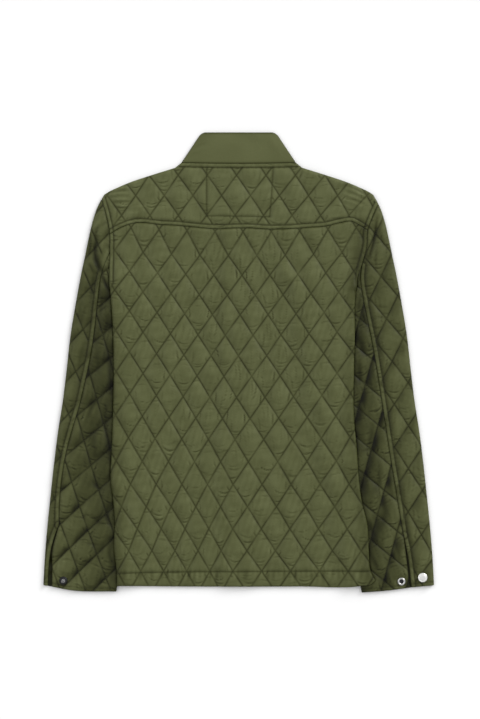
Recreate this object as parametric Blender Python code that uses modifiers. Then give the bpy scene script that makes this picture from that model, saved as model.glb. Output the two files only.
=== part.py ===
"""Quilted jacket laid flat on its front, its back up, as the pieces that a maker would cut.

Every piece is one closed wall of cloth. The sizes below are in millimetres: x runs to the right as the back
is seen, y from the hem to the collar, and z up from the surface that the jacket lies on. The left side is the
wearer's left, at negative x. The sleeves lie beside the body and partly beneath it, which lifts the body there.
"""
import math

import bmesh
import bpy
from mathutils import Vector
from mathutils.geometry import delaunay_2d_cdt

MM = 0.001
LEFT = -1
RIGHT = 1
SIDES = {"left": LEFT, "right": RIGHT}

# Cloth and its layers
WALL = 1.8
LAYER_GAP = 0.8
SEAM_GAP = 0.3
UPPER_LAYER = WALL + LAYER_GAP
SIDE_LIFT = 5.0
CENTRE_LIFT = 2.4
FOLD_RADIUS = (UPPER_LAYER + WALL) / 2
FOLD_CORE = LAYER_GAP / 2
FOLD_ARC = FOLD_RADIUS * math.pi / 2

# Quilting and sewing
PUFF = 3.2
PUFF_ROUNDNESS = 0.6
VALLEY = 6.0
BAND = 6.7
BAND_RISE = 1.3
HEM_PUFF = 0.6
BOW_REACH = 200.0
ROUNDING = ((0.5, 0.5), (0.25, 0.5), (0.75, 0.5), (0.5, 0.25), (0.5, 0.75))
POINT_MARGIN = 3.5
EDGE_MARGIN = 2.0
STEP = 30.0
LONG_STEP = 60.0
SHORT_STEP = 12.0
SNAP_REACH = 1.2
SLIVER = 1.5
NEEDLE = 0.02
# Places past every outline, where lines that cross the whole garment start and end
BEYOND_SIDE = 260.0
BEYOND_HEM = -400.0
BEYOND_SEAM = 270.0
BEYOND_SHOULDER = 20.0
BEYOND_COLLAR = 5.0
UNDERARM = 118.0
CUFF_FOOT = -384.0

# Outlines. Rows are (y, x) down the outer fold of a sleeve, the same on both sides
SLEEVE_FOLD = (
    (281, 226.2), (273, 230.8), (260, 237.5), (246, 242.5), (233, 246.3), (206, 252.5), (179, 258),
    (152, 263.8), (98, 273.8), (44.5, 282.6), (-9, 288.6), (-63, 295.1), (-117, 303.5), (-170, 310.2),
    (-224, 316), (-278, 321.5), (-332, 325.8), (-374, 328),
)
# Points are (x, y) from here on
SHOULDER = ((106.5, 327), (151, 313), (180, 303.3), (204, 293.3), (217, 287.2), (226, 281.5))
ARMHOLE = {
    LEFT: ((-230, 274), (-223.3, 250), (-216.8, 215.8), (-216.4, 200), (-216.5, 186), (-217.2, 142),
           (-218.6, 126), (-213, 121)),
    RIGHT: ((234.5, 266.5), (224.9, 245), (216.8, 222), (215, 196), (206.3, 163), (199.6, 143), (198, 126),
            (196.5, 120)),
}
# Points of an armhole, counted from the shoulder, where the yoke and the elbow seam start
YOKE_CORNER = 2
ELBOW_CORNER = 4
EDGE = {
    LEFT: ((-213, 121), (-213, -147), (-215, -192), (-210.5, -233), (-207.8, -270), (-209.5, -305),
           (-204.8, -354), (-204.5, -375)),
    RIGHT: ((196.5, 120), (195, 103), (195, 44.5), (193.7, -2.5), (193.7, -97), (198.2, -145), (201.3, -192),
            (207.1, -236), (215.5, -270), (218.4, -317), (221.6, -350), (229, -365.5)),
}
HEM = ((-204.5, -375), (-100, -376), (0, -376.3), (100, -376), (205, -375), (222, -372), (229, -365.5))
HEM_STITCH = ((-240, -354.5), (-100, -351.5), (0, -350.8), (240, -349.8))
YOKE_SEAM = (
    (-216.8, 215.8), (-206.1, 222.1), (-179.3, 233.2), (-125.5, 231), (-98.6, 229.6), (-71.7, 226.8),
    (-44.9, 224.6), (8.9, 225.6), (62.7, 223.6), (116.4, 226.5), (143.3, 228.5), (170.2, 234.5),
    (190.3, 236.7), (200.4, 231.8), (209.5, 226.3), (216.8, 222),
)
YOKE_FRAME = ((-53.3, 340), (-53.8, 300), (-53.4, 247.2), (52.2, 247.2), (55.6, 290), (58.5, 340))
ELBOW = {
    LEFT: ((-216.5, 186), (-223, 170), (-231, 146), (-236.9, 103.8), (-242.3, 54.6), (-248.6, 12.6),
           (-257.6, -29.4), (-267.4, -71.4), (-280, -113.4), (-290.8, -155.4), (-297.7, -197.4),
           (-301.4, -239.4), (-302, -273)),
    RIGHT: ((206.3, 163), (204.6, 145), (205.4, 132), (209.5, 106), (219.9, 54.6), (228, 12.6), (234.9, -29.4),
            (241.4, -71.4), (247.8, -113.4), (254.2, -155.4), (261.2, -197.4), (268.1, -239.4), (276.9, -290)),
}
VENT_STRIP = {
    LEFT: ((-302, -273), (-309.4, -292), (-315, -312.5), (-317.8, -330), (-319.5, -348), (-320.5, -374.9)),
    RIGHT: ((276.9, -290), (284.4, -328.4), (290.3, -377.7)),
}
VENT_UNDER = {
    LEFT: ((-302, -273), (-307.2, -292), (-312, -311), (-313.5, -326), (-313.2, -350), (-313.8, -376.3)),
    RIGHT: ((276.9, -290), (281.5, -328.4), (287.3, -378)),
}
CUFF = {
    LEFT: ((-313.8, -376.3), (-283.4, -382.2), (-205.5, -384.6)),
    RIGHT: ((287.3, -378), (250, -383), (206.6, -386.3)),
}
INSEAM_TOP = (106.5, 121)
NECK_HALF = 96.3
NECK_Y = 335.2
NECK_SAG = 1.4
FRONT_NECK_DROP = 72.0
COLLAR_HEIGHT = 51.1
# Rows are (height above the neck seam, half width of the folded collar)
COLLAR_FOLD = ((0, 96.3), (20, 83), (40, 69.7), (46, 65), (49.5, 60), (51.1, 54))
COLLAR_SWELL = 0.9
SWELL_FADE = 20.0
SWELL_ROWS = (8.0, 26.0, 44.0)
SWELL_STEP = 24.0
LAP_HALF = 15.0
TIP_DROP = 2.5

# How the body rides over the sleeves and the fronts lap: distances over which the lifts fade
INSEAM_MARGIN = 3.0
SIDE_RAMP = 40.0
SIDE_LIFT_FULL = 125.0
SIDE_LIFT_NONE = 189.0
LAP_PLATEAU = 17.0
LAP_RAMP = 25.0
LAP_FULL = 270.0
LAP_NONE = 300.0

# Diamonds of the back. Rows are (y, x of the middle crossing, pitch to the left, pitch to the right, bow)
BACK_ROWS = (
    (254, 8, 47, 47.5, 8), (219.2, 7.2, 47, 47.5, 8), (179, 6.4, 47.7, 47.7, 8), (146.2, 5.5, 47.2, 46.8, 8),
    (112.6, 4.5, 47.2, 46.6, 8), (79.8, 2.2, 46.4, 47, 8), (45.4, 0.5, 46, 46.9, 8),
    (10.9, -0.7, 45.7, 47.7, 8), (-23.5, -2.2, 45.2, 47.7, 8), (-59, -3.7, 44.8, 47.7, 8),
    (-94.1, -4.9, 44.8, 47.9, 6), (-129.4, -6.2, 44.7, 48.2, 4), (-166.8, -8.5, 43.8, 49.2, 2),
    (-204.8, -9.5, 43, 48.6, 1), (-242.1, -9.8, 41.5, 48.8, 0), (-279.4, -10.2, 40, 48, 0),
    (-316, -10.2, 38.7, 47.8, 0), (-350.3, -9.9, 38.7, 48.4, 0), (-386, -9.9, 38.7, 48.4, 0),
)
YOKE_ROWS = (
    (213.2, -6.9, 48, 47.5, 0), (246.8, -6.2, 47.6, 47.8, 0), (280, -4.8, 48, 48.8, 0),
    (314.2, -3.7, 49, 49.5, 0), (348, -2.7, 49.5, 49.8, 0),
)
SLEEVE_PITCH = 47.0
SLEEVE_ROW = 36.0
SLEEVE_ROWS = 16
# A crossing on each sleeve panel, and rows of (y, tilt in degrees) of the quilting down it
TOP_ANCHOR = {LEFT: (-260.9, 55.6), RIGHT: (248, 73.2)}
TOP_TILT = {
    LEFT: ((-400, -8), (0, -10), (250, -10)),
    RIGHT: ((-300, -4), (-200, 0), (-40, 0), (20, 7.5), (250, 7.5)),
}
UNDER_ANCHOR = {LEFT: (-266.8, -241.9), RIGHT: (232.7, -256)}
UNDER_TILT = {
    LEFT: ((-380, -12), (-270, -13), (-190, -17), (-60, -18), (120, -15)),
    RIGHT: ((-380, 18), (120, 17)),
}
# Soft folds where the sleeves turn down from the shoulders
SLEEVE_CREASE = {
    LEFT: ((-246.5, 231), (-239.7, 197.4), (-233, 160)),
    RIGHT: ((229, 238), (236, 200.8), (228, 160)),
}
CREASE_RISE = 3.0
CREASE_WIDTH = 9.0

# Snaps
SNAP_RING = 9.6
RING_SIDES = 12
SNAP_SIDES = 16
RECESS_SIDES = 24
SOCKET_PLACE = {LEFT: (-294.3, -366.1), RIGHT: (273.2, -367.5)}
SOCKET_PROFILE = ((0, 1.0), (3.6, 1.0), (4.4, 2.3), (6.2, 2.3), (7, 1.3), (7, 0), (0, 0))
CAP_PLACE = {LEFT: (-308.8, -360), RIGHT: (308.8, -361)}
CAP_PROFILE = ((0, 2.8), (4, 2.5), (7, 1.6), (8, 0.7), (8, 0), (0, 0))
HIDDEN_CAP_PROFILE = ((0, 0.8), (7.4, 0.8), (8, 0.4), (8, 0), (0, 0))
RECESS_RADIUS = 8.4
RECESS_SLOPE = 0.4
RECESS_DEPTH = 1.1

# Colours, linear
OLIVE = (0.089, 0.097, 0.038, 1.0)
OLIVE_COLLAR = (0.099, 0.108, 0.043, 1.0)
DARK_METAL = (0.02, 0.02, 0.02, 1.0)
SILVER = (0.62, 0.62, 0.60, 1.0)
CLOTH_ROUGHNESS = 0.72
METAL_ROUGHNESS = 0.3


# Plane geometry

def clamp(value):
    return max(0.0, min(1.0, value))


def read(table, key):
    """Value beside a key in rows of (key, value): straight between rows, level past the ends."""
    rows = sorted(table)
    if key <= rows[0][0]:
        return rows[0][1]
    for (low, value), (high, next_value) in zip(rows, rows[1:]):
        if key <= high:
            return value + (next_value - value) * (key - low) / (high - low)
    return rows[-1][1]


def distance(point, line):
    """Distance from a point to a line of points."""
    best = math.inf
    for (x0, y0), (x1, y1) in zip(line, line[1:]):
        dx, dy = x1 - x0, y1 - y0
        along = clamp(((point[0] - x0) * dx + (point[1] - y0) * dy) / (dx * dx + dy * dy))
        best = min(best, math.hypot(point[0] - x0 - along * dx, point[1] - y0 - along * dy))
    return best


def inside(point, outline):
    """Whether a point is inside a closed outline."""
    found = False
    for (x0, y0), (x1, y1) in zip(outline, outline[1:] + outline[:1]):
        if (y0 > point[1]) != (y1 > point[1]):
            if point[0] < x0 + (x1 - x0) * (point[1] - y0) / (y1 - y0):
                found = not found
    return found


def closed(outline):
    return list(outline) + [outline[0]]


def counter_clockwise(outline):
    area = sum(x0 * y1 - x1 * y0 for (x0, y0), (x1, y1) in zip(outline, outline[1:] + outline[:1]))
    return list(outline) if area > 0 else list(reversed(outline))


def subdivide(line, step=STEP):
    """The line with more points on its long stretches."""
    points = [line[0]]
    for (x0, y0), (x1, y1) in zip(line, line[1:]):
        count = max(1, math.ceil(math.hypot(x1 - x0, y1 - y0) / step))
        points += [(x0 + (x1 - x0) * k / count, y0 + (y1 - y0) * k / count) for k in range(1, count + 1)]
    return points


def shifted(line, offset):
    """The open line moved to its left by an offset."""
    normals = []
    for (x0, y0), (x1, y1) in zip(line, line[1:]):
        length = math.hypot(x1 - x0, y1 - y0)
        normals.append(((y0 - y1) / length, (x1 - x0) / length))
    moved = []
    for k, (x, y) in enumerate(line):
        before = normals[max(0, k - 1)]
        after = normals[min(k, len(normals) - 1)]
        nx, ny = before[0] + after[0], before[1] + after[1]
        scale = 2 * offset / (nx * nx + ny * ny)
        moved.append((x + nx * scale, y + ny * scale))
    return moved


def inset(outline, margin):
    """The closed counter-clockwise outline moved inwards by a margin."""
    wrapped = [outline[-1]] + list(outline) + [outline[0]]
    return shifted(wrapped, margin)[1:-1]


def crossing(p, q, r, s):
    """Where the stretch p q meets the stretch r s: how far along each, or None."""
    ax, ay = q[0] - p[0], q[1] - p[1]
    bx, by = s[0] - r[0], s[1] - r[1]
    turn = ax * by - ay * bx
    if abs(turn) < 1e-9:
        return None
    along = ((r[0] - p[0]) * by - (r[1] - p[1]) * bx) / turn
    other = ((r[0] - p[0]) * ay - (r[1] - p[1]) * ax) / turn
    return (along, other) if 0 < along < 1 and 0 <= other <= 1 else None


def cut_to(lines, outline):
    """Stretches of the lines that lie inside an outline, and the outline with their ends put into it."""
    added = [[] for _ in outline]
    ring = closed(outline)

    def edge_point(k, share):
        start, end = ring[k], ring[k + 1]
        length = math.dist(start, end)
        for near in [start, end] + [point for _, point in added[k]]:
            spot = (start[0] + (end[0] - start[0]) * share, start[1] + (end[1] - start[1]) * share)
            if math.dist(near, spot) < min(SNAP_REACH, length / 2):
                return near
        added[k].append((share, spot))
        return spot

    stretches = []
    for line in lines:
        for start, end in zip(line, line[1:]):
            marks = [(0.0, start, None), (1.0, end, None)]
            for k in range(len(outline)):
                hit = crossing(start, end, ring[k], ring[k + 1])
                if hit:
                    marks.append((hit[0], None, (k, hit[1])))
            marks.sort(key=lambda mark: mark[0])
            for first, last in zip(marks, marks[1:]):
                middle = (first[0] + last[0]) / 2
                spot = (start[0] + (end[0] - start[0]) * middle, start[1] + (end[1] - start[1]) * middle)
                if (last[0] - first[0]) * math.dist(start, end) < SLIVER or not inside(spot, outline):
                    continue
                stretch = tuple(point or edge_point(*place) for _, point, place in (first, last))
                if math.dist(*stretch) > SLIVER / 2:
                    stretches.append(stretch)
    full = []
    for k, point in enumerate(outline):
        full.append(point)
        full += [extra for _, extra in sorted(added[k])]
    return stretches, full


# Quilting

class Quilting:
    """Diamonds between two families of stitch lines.

    A row of crossings is (x, y, pitch to the left, pitch to the right, tilt, bow). Diagonals a and b are whole
    numbers on the stitch lines, so a - b is the row's number and (a + b) / 2 the place along the row.
    """

    def __init__(self, rows, first_row):
        self.rows = rows
        self.first_row = first_row

    def row(self, number):
        place = number - self.first_row
        low = max(0, min(len(self.rows) - 2, math.floor(place)))
        share = place - low
        return [a + (b - a) * share for a, b in zip(self.rows[low], self.rows[low + 1])]

    def point(self, a, b):
        x, y, left, right, tilt, bow = self.row(a - b)
        place = (a + b) / 2
        across = place * (left if place < 0 else right)
        rise = bow * (across / BOW_REACH) ** 2
        return (x + across * math.cos(tilt) - rise * math.sin(tilt),
                y + across * math.sin(tilt) + rise * math.cos(tilt))

    def diagonals(self, x, y):
        number = self.first_row + len(self.rows) / 2
        for _ in range(8):
            row_x, row_y, left, right, tilt, bow = self.row(number)
            across = (x - row_x) * math.cos(tilt) + (y - row_y) * math.sin(tilt)
            above = (y - row_y) * math.cos(tilt) - (x - row_x) * math.sin(tilt)
            above -= bow * (across / BOW_REACH) ** 2
            number -= above / math.dist(self.row(number - 0.5)[:2], self.row(number + 0.5)[:2])
        place = across / (left if across < 0 else right)
        return place + number / 2, place - number / 2

    def puff(self, x, y):
        """Height of the padding over its stitch lines, from 0 to 1."""
        a, b = self.diagonals(x, y)
        return abs(math.sin(math.pi * a) * math.sin(math.pi * b)) ** PUFF_ROUNDNESS

    def lines(self, region, keep_off=()):
        """Stitch lines over a region, with points at crossings and halfway, and the rounding points."""
        pairs = [self.diagonals(x, y) for x, y in region]
        a_low, a_high = math.floor(min(a for a, _ in pairs)), math.ceil(max(a for a, _ in pairs))
        b_low, b_high = math.floor(min(b for _, b in pairs)), math.ceil(max(b for _, b in pairs))
        half_a, half_b = range(2 * a_low, 2 * a_high + 1), range(2 * b_low, 2 * b_high + 1)
        lines = [[self.point(a, b / 2) for b in half_b] for a in range(a_low, a_high + 1)]
        lines += [[self.point(a / 2, b) for a in half_a] for b in range(b_low, b_high + 1)]
        tops = [self.point(a + part_a, b + part_b) for a in range(a_low, a_high) for b in range(b_low, b_high)
                for part_a, part_b in ROUNDING]
        stretches, _ = cut_to(lines, region)
        clear = [p for p in tops if inside(p, region) and distance(p, closed(region)) > POINT_MARGIN
                 and all(distance(p, line) > VALLEY for line in keep_off)]
        return stretches, clear


def upright_rows(table):
    return [(x, y, left, right, 0.0, bow) for y, x, left, right, bow in table]


def sleeve_quilting(anchor, tilts):
    """Quilting that follows a sleeve up and down from one of its crossings."""
    def walk(way):
        x, y = anchor
        rows = []
        for _ in range(SLEEVE_ROWS):
            tilt = math.radians(read(tilts, y))
            x += way * SLEEVE_ROW * math.sin(tilt)
            y -= way * SLEEVE_ROW * math.cos(tilt)
            rows.append((x, y, SLEEVE_PITCH, SLEEVE_PITCH, math.radians(read(tilts, y)), 0.0))
        return rows

    middle = (*anchor, SLEEVE_PITCH, SLEEVE_PITCH, math.radians(read(tilts, anchor[1])), 0.0)
    return Quilting(list(reversed(walk(-1))) + [middle] + walk(1), -SLEEVE_ROWS)


BACK_QUILTING = Quilting(upright_rows(BACK_ROWS), -1)
YOKE_QUILTING = Quilting(upright_rows(tuple(reversed(YOKE_ROWS))), -1)


def relief(point, quilting, bands=(), valleys=(), rings=()):
    """Height of the quilted surface over the plain wall."""
    rise = PUFF * quilting.puff(*point)
    for line in bands:
        gap = distance(point, line)
        if gap < BAND:
            return BAND_RISE * math.sin(math.pi * gap / BAND)
        rise *= clamp((gap - BAND) / VALLEY)
    for line in valleys:
        rise *= clamp(distance(point, line) / VALLEY)
    for centre in rings:
        rise *= clamp((math.dist(point, centre) - SNAP_RING) / VALLEY)
    return rise


# How the layers lie on each other

def inseam(side):
    """The hidden inner fold of a sleeve, from the underarm down."""
    return (side * INSEAM_TOP[0], INSEAM_TOP[1]), CUFF[side][-1]


def past_inseam(x, y, side):
    """How far a point lies towards the middle from a sleeve's inner fold."""
    (x0, y0), (x1, y1) = inseam(side)
    length = math.dist((x0, y0), (x1, y1))
    return side * ((x - x0) * (y1 - y0) - (y - y0) * (x1 - x0)) / length


def side_lift(x, y):
    """Lift of the body over the sleeves beneath it."""
    down = clamp((SIDE_LIFT_NONE - y) / (SIDE_LIFT_NONE - SIDE_LIFT_FULL))
    across = max(clamp(1 - (past_inseam(x, y, side) - INSEAM_MARGIN) / SIDE_RAMP) for side in SIDES.values())
    return SIDE_LIFT * min(down, across)


def lap_lift(x, y):
    """Lift over the lapped fronts."""
    up = clamp((LAP_NONE - y) / (LAP_NONE - LAP_FULL))
    across = clamp((LAP_PLATEAU + LAP_RAMP - abs(x)) / LAP_RAMP)
    return CENTRE_LIFT * min(up, across)


def lift_lines(side):
    """Lines along which the side lift changes its slope: round its flat part and round all of it."""
    lines = []
    corners = []
    for offset, height in ((INSEAM_MARGIN, SIDE_LIFT_FULL), (INSEAM_MARGIN + SIDE_RAMP, SIDE_LIFT_NONE)):
        (x0, y0), (x1, y1) = shifted(inseam(side), -side * offset)
        slope = (x1 - x0) / (y1 - y0)
        corner = (x0 + (height - y0) * slope, height)
        foot = (x0 + (BEYOND_HEM - y0) * slope, BEYOND_HEM)
        lines.append(subdivide([(side * BEYOND_SIDE, height), corner, foot], LONG_STEP))
        corners.append(corner)
    return lines + [corners]


def lap_lines():
    """Lines along which the lap's lift changes its slope."""
    lines = []
    for half in SIDES.values():
        near, far = half * LAP_PLATEAU, half * (LAP_PLATEAU + LAP_RAMP)
        lines += [[(near, BEYOND_HEM), (near, LAP_FULL)], [(far, BEYOND_HEM), (far, LAP_NONE)]]
        lines += [[(near, LAP_FULL), (far, LAP_NONE)]]
        lines += [[(0, LAP_FULL), (near, LAP_FULL)], [(0, LAP_NONE), (far, LAP_NONE)]]
    return [subdivide(line, LONG_STEP) for line in lines]


# Solids

def triangulate(outline, stretches, points):
    """Triangles inside an outline, with the stretches as edges, and the numbers of the outline's points."""
    plane = [Vector(point) for point in outline]
    edges = []
    for start, end in stretches:
        edges.append((len(plane), len(plane) + 1))
        plane += [Vector(start), Vector(end)]
    plane += [Vector(point) for point in points]
    made, _, faces, origins, _, _ = delaunay_2d_cdt(plane, edges, [list(range(len(outline)))], 1, 0.01)
    number = {old: new for new, olds in enumerate(origins) for old in olds}
    return [tuple(point) for point in made], faces, [number[k] for k in range(len(outline))]


def cloth(name, outline, outer, inner, colour, outer_lines=(), outer_points=(), inner_lines=()):
    """A closed wall over a flat outline: outer and inner place its points, and the lines become edges."""
    outline = inset(counter_clockwise(outline), SEAM_GAP / 2)
    outer_stretches, outline_1 = cut_to(outer_lines, outline)
    inner_stretches, outline_2 = cut_to(inner_lines, outline_1)
    mesh = bmesh.new()
    rims = []
    for place, stretches, points in ((outer, outer_stretches, outer_points), (inner, inner_stretches, ())):
        kept = [p for p in points if inside(p, outline_2) and distance(p, closed(outline_2)) > POINT_MARGIN]
        plane, faces, rim = triangulate(outline_2, stretches, kept)
        made = [mesh.verts.new([value * MM for value in place(*point)]) for point in plane]
        for face in faces:
            mesh.faces.new([made[k] for k in face])
        rims.append([made[k] for k in rim])
    for k in range(len(outline_2)):
        after = (k + 1) % len(outline_2)
        mesh.faces.new((rims[0][k], rims[0][after], rims[1][after]))
        mesh.faces.new((rims[0][k], rims[1][after], rims[1][k]))
    bmesh.ops.dissolve_degenerate(mesh, dist=NEEDLE * MM, edges=mesh.edges)
    bmesh.ops.triangulate(mesh, faces=mesh.faces)
    bmesh.ops.recalc_face_normals(mesh, faces=mesh.faces)
    return add_object(name, mesh, colour, CLOTH_ROUGHNESS, 0.0)


def add_object(name, mesh, colour, roughness, metallic):
    data = bpy.data.meshes.new(name)
    mesh.to_mesh(data)
    mesh.free()
    material = bpy.data.materials.new(name)
    material.use_nodes = True
    shader = material.node_tree.nodes["Principled BSDF"]
    shader.inputs["Base Color"].default_value = colour
    shader.inputs["Roughness"].default_value = roughness
    shader.inputs["Metallic"].default_value = metallic
    data.materials.append(material)
    made = bpy.data.objects.new(name, data)
    made.parent = root
    parts.objects.link(made)
    return made


# Back, yoke and fronts

def neck_seam(count=8):
    """Lower edge of the collar on the back, from left to right."""
    places = [NECK_HALF * (2 * k / count - 1) for k in range(count + 1)]
    return [(x, NECK_Y - NECK_SAG * (1 - (x / NECK_HALF) ** 2)) for x in places]


def round_collar(past, half=NECK_HALF):
    """How far inward from the collar's fold, and how far down, the neck seam has gone past the fold."""
    if past < FOLD_ARC:
        inward = FOLD_RADIUS - FOLD_RADIUS * math.cos(past / FOLD_RADIUS)
    else:
        inward = FOLD_RADIUS + (past - FOLD_ARC) * (half - FOLD_RADIUS) / (NECK_HALF - FOLD_ARC)
    return inward, FRONT_NECK_DROP * math.sin(math.pi / 2 * clamp(past / NECK_HALF))


def front_neck_stations(count=8):
    return [0.0, FOLD_ARC / 2, FOLD_ARC] + [NECK_HALF * k / count for k in range(1, count + 1)]


def front_neck(side):
    """Lower edge of the collar on the front, from the shoulder to the middle."""
    turns = [round_collar(past) for past in front_neck_stations()]
    return [(side * (NECK_HALF - inward), NECK_Y - drop) for inward, drop in turns]


def mirrored(line, side):
    return [(side * x, y) for x, y in line]


def armhole_to_yoke(side):
    """The part of an armhole beside the yoke, and the part beside the back."""
    return list(ARMHOLE[side][:YOKE_CORNER + 1]), list(ARMHOLE[side][YOKE_CORNER:])


def build_back():
    _, left = armhole_to_yoke(LEFT)
    _, right = armhole_to_yoke(RIGHT)
    outline = subdivide(closed(list(HEM) + list(reversed(EDGE[RIGHT]))[1:-1] + list(reversed(right))
                               + list(reversed(YOKE_SEAM))[1:-1] + left + list(EDGE[LEFT])[1:-1]))[:-1]
    left_band = shifted(left[:-1], BAND)
    right_band = shifted(right[:-1], -BAND)
    region = [(-BEYOND_SIDE, BEYOND_HEM), (BEYOND_SIDE, BEYOND_HEM), (BEYOND_SIDE, UNDERARM)]
    region += list(reversed(right_band)) + [(right_band[0][0], BEYOND_SEAM), (left_band[0][0], BEYOND_SEAM)]
    region += left_band + [(-BEYOND_SIDE, UNDERARM)]
    stitch, tops = BACK_QUILTING.lines(counter_clockwise(region), [HEM_STITCH])

    def outer(x, y):
        rise = relief((x, y), BACK_QUILTING, (left, right), (YOKE_SEAM, HEM_STITCH, HEM, *EDGE.values()))
        if y < HEM_STITCH[0][1]:
            rise *= HEM_PUFF
        return x, y, side_lift(x, y) + lap_lift(x, y) + UPPER_LAYER + WALL + rise

    def inner(x, y):
        return x, y, side_lift(x, y) + lap_lift(x, y) + UPPER_LAYER

    bends = lift_lines(LEFT) + lift_lines(RIGHT) + lap_lines()
    crests = [shifted(left, BAND / 2), shifted(right, -BAND / 2)]
    lines = stitch + crests + [subdivide(HEM_STITCH), left_band, right_band]
    cloth("back", outline, outer, inner, OLIVE, lines, tops, bends)


def build_yoke():
    left, _ = armhole_to_yoke(LEFT)
    right, _ = armhole_to_yoke(RIGHT)
    neck = neck_seam()
    outline = list(YOKE_SEAM) + list(reversed(right))[1:] + mirrored(reversed(SHOULDER), RIGHT)
    outline = subdivide(closed(outline + list(reversed(neck)) + mirrored(SHOULDER, LEFT) + left[:-1]))[:-1]
    seams = (YOKE_SEAM, neck, left, right)
    yoke_band = shifted(YOKE_SEAM, BAND)
    neck_band = shifted(neck, -BAND)
    left_band = shifted(left, BAND)
    right_band = shifted(right, -BAND)
    past_shoulder = shifted(SHOULDER, BEYOND_SHOULDER)
    region = (yoke_band + list(reversed(right_band)) + mirrored(reversed(past_shoulder), RIGHT)
              + list(reversed(neck_band)) + mirrored(past_shoulder, LEFT) + left_band)
    stitch, tops = YOKE_QUILTING.lines(counter_clockwise(region), [YOKE_FRAME])

    def outer(x, y):
        shoulders = (mirrored(SHOULDER, LEFT), mirrored(SHOULDER, RIGHT))
        rise = relief((x, y), YOKE_QUILTING, seams, (YOKE_FRAME, *shoulders))
        return x, y, lap_lift(x, y) + UPPER_LAYER + WALL + rise

    def inner(x, y):
        return x, y, lap_lift(x, y) + UPPER_LAYER

    crests = [shifted(YOKE_SEAM, BAND / 2), shifted(neck, -BAND / 2)]
    crests += [shifted(left, BAND / 2), shifted(right, -BAND / 2)]
    lines = stitch + crests + [yoke_band, neck_band, left_band, right_band, subdivide(YOKE_FRAME)]
    cloth("yoke", outline, outer, inner, OLIVE, lines, tops, lap_lines())


def build_front(name, side):
    lap = -side * LAP_HALF
    hem = [point for point in HEM if point[0] * side > 0]
    hem.sort(key=lambda point: abs(point[0]))
    neck = front_neck(side)
    outline = [(lap, HEM[2][1])] + hem + list(reversed(EDGE[side]))[1:-1] + list(reversed(ARMHOLE[side]))
    outline += mirrored(reversed(SHOULDER), side) + neck + [(lap, neck[-1][1])]
    outline = subdivide(closed(outline))[:-1]

    def below(x, y):
        return x, y, side_lift(x, y) + (lap_lift(x, y) if side == RIGHT else 0.0)

    def above(x, y):
        return x, y, below(x, y)[2] + WALL

    bends = lift_lines(side)
    if side == RIGHT:
        bends += lap_lines()
    cloth(name, outline, below, above, OLIVE, bends, (), bends)


# Collar

def build_collar():
    """One band folded at both sides: its back part on top, its front ends meeting beneath."""
    reach = NECK_HALF

    def place(u, v, radius, level):
        side = -1 if u < 0 else 1
        past = abs(u) - reach
        half = read(COLLAR_FOLD, v)
        inward, drop = round_collar(abs(past), half)
        z = level[0] if past < 0 else level[1]
        if abs(past) <= FOLD_ARC:
            inward = FOLD_RADIUS - radius * math.cos(past / FOLD_RADIUS)
            z = FOLD_RADIUS - radius * math.sin(past / FOLD_RADIUS)
        if past < 0:
            drop = NECK_SAG * (1 - (u / reach) ** 2)
        return side * (half - inward), NECK_Y + v - drop, z

    def outer(u, v):
        swell = COLLAR_SWELL * math.sin(math.pi * v / COLLAR_HEIGHT) * clamp((reach - abs(u)) / SWELL_FADE)
        return place(u, v, FOLD_RADIUS, (UPPER_LAYER + WALL + swell, 0.0))

    def inner(u, v):
        return place(u, v, FOLD_CORE, (UPPER_LAYER, WALL))

    heights = [height for height, _ in COLLAR_FOLD]
    turns = [side * (reach + part * FOLD_ARC / 2) for side in (LEFT, RIGHT) for part in (-2, -1, 0, 1, 2)]
    ends = (-BEYOND_COLLAR, COLLAR_HEIGHT + BEYOND_COLLAR)
    folds = [[(u, v) for v in (ends[0], *heights[1:-1], ends[1])] for u in turns]
    swells = [subdivide([(-reach, v), (reach, v)], SWELL_STEP) for v in SWELL_ROWS]
    top_layer = [x for x, _ in neck_seam()]
    past_folds = [reach + past for past in front_neck_stations()[1:]]
    stations = [-u for u in reversed(past_folds)] + top_layer + past_folds
    outline = [(u, 0) for u in stations] + [(u, COLLAR_HEIGHT) for u in reversed(stations)]
    cloth("collar", outline, outer, inner, OLIVE_COLLAR, folds + swells, (), folds)


# Sleeves

def fold_x(y):
    return read(SLEEVE_FOLD, y)


def unroll(inward):
    """Distance round a sleeve's outer fold of a point that lies so far inward from it."""
    if inward >= FOLD_RADIUS:
        return inward - FOLD_RADIUS + FOLD_ARC
    return FOLD_RADIUS * math.acos(1 - max(inward, 0.0) / FOLD_RADIUS)


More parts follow.
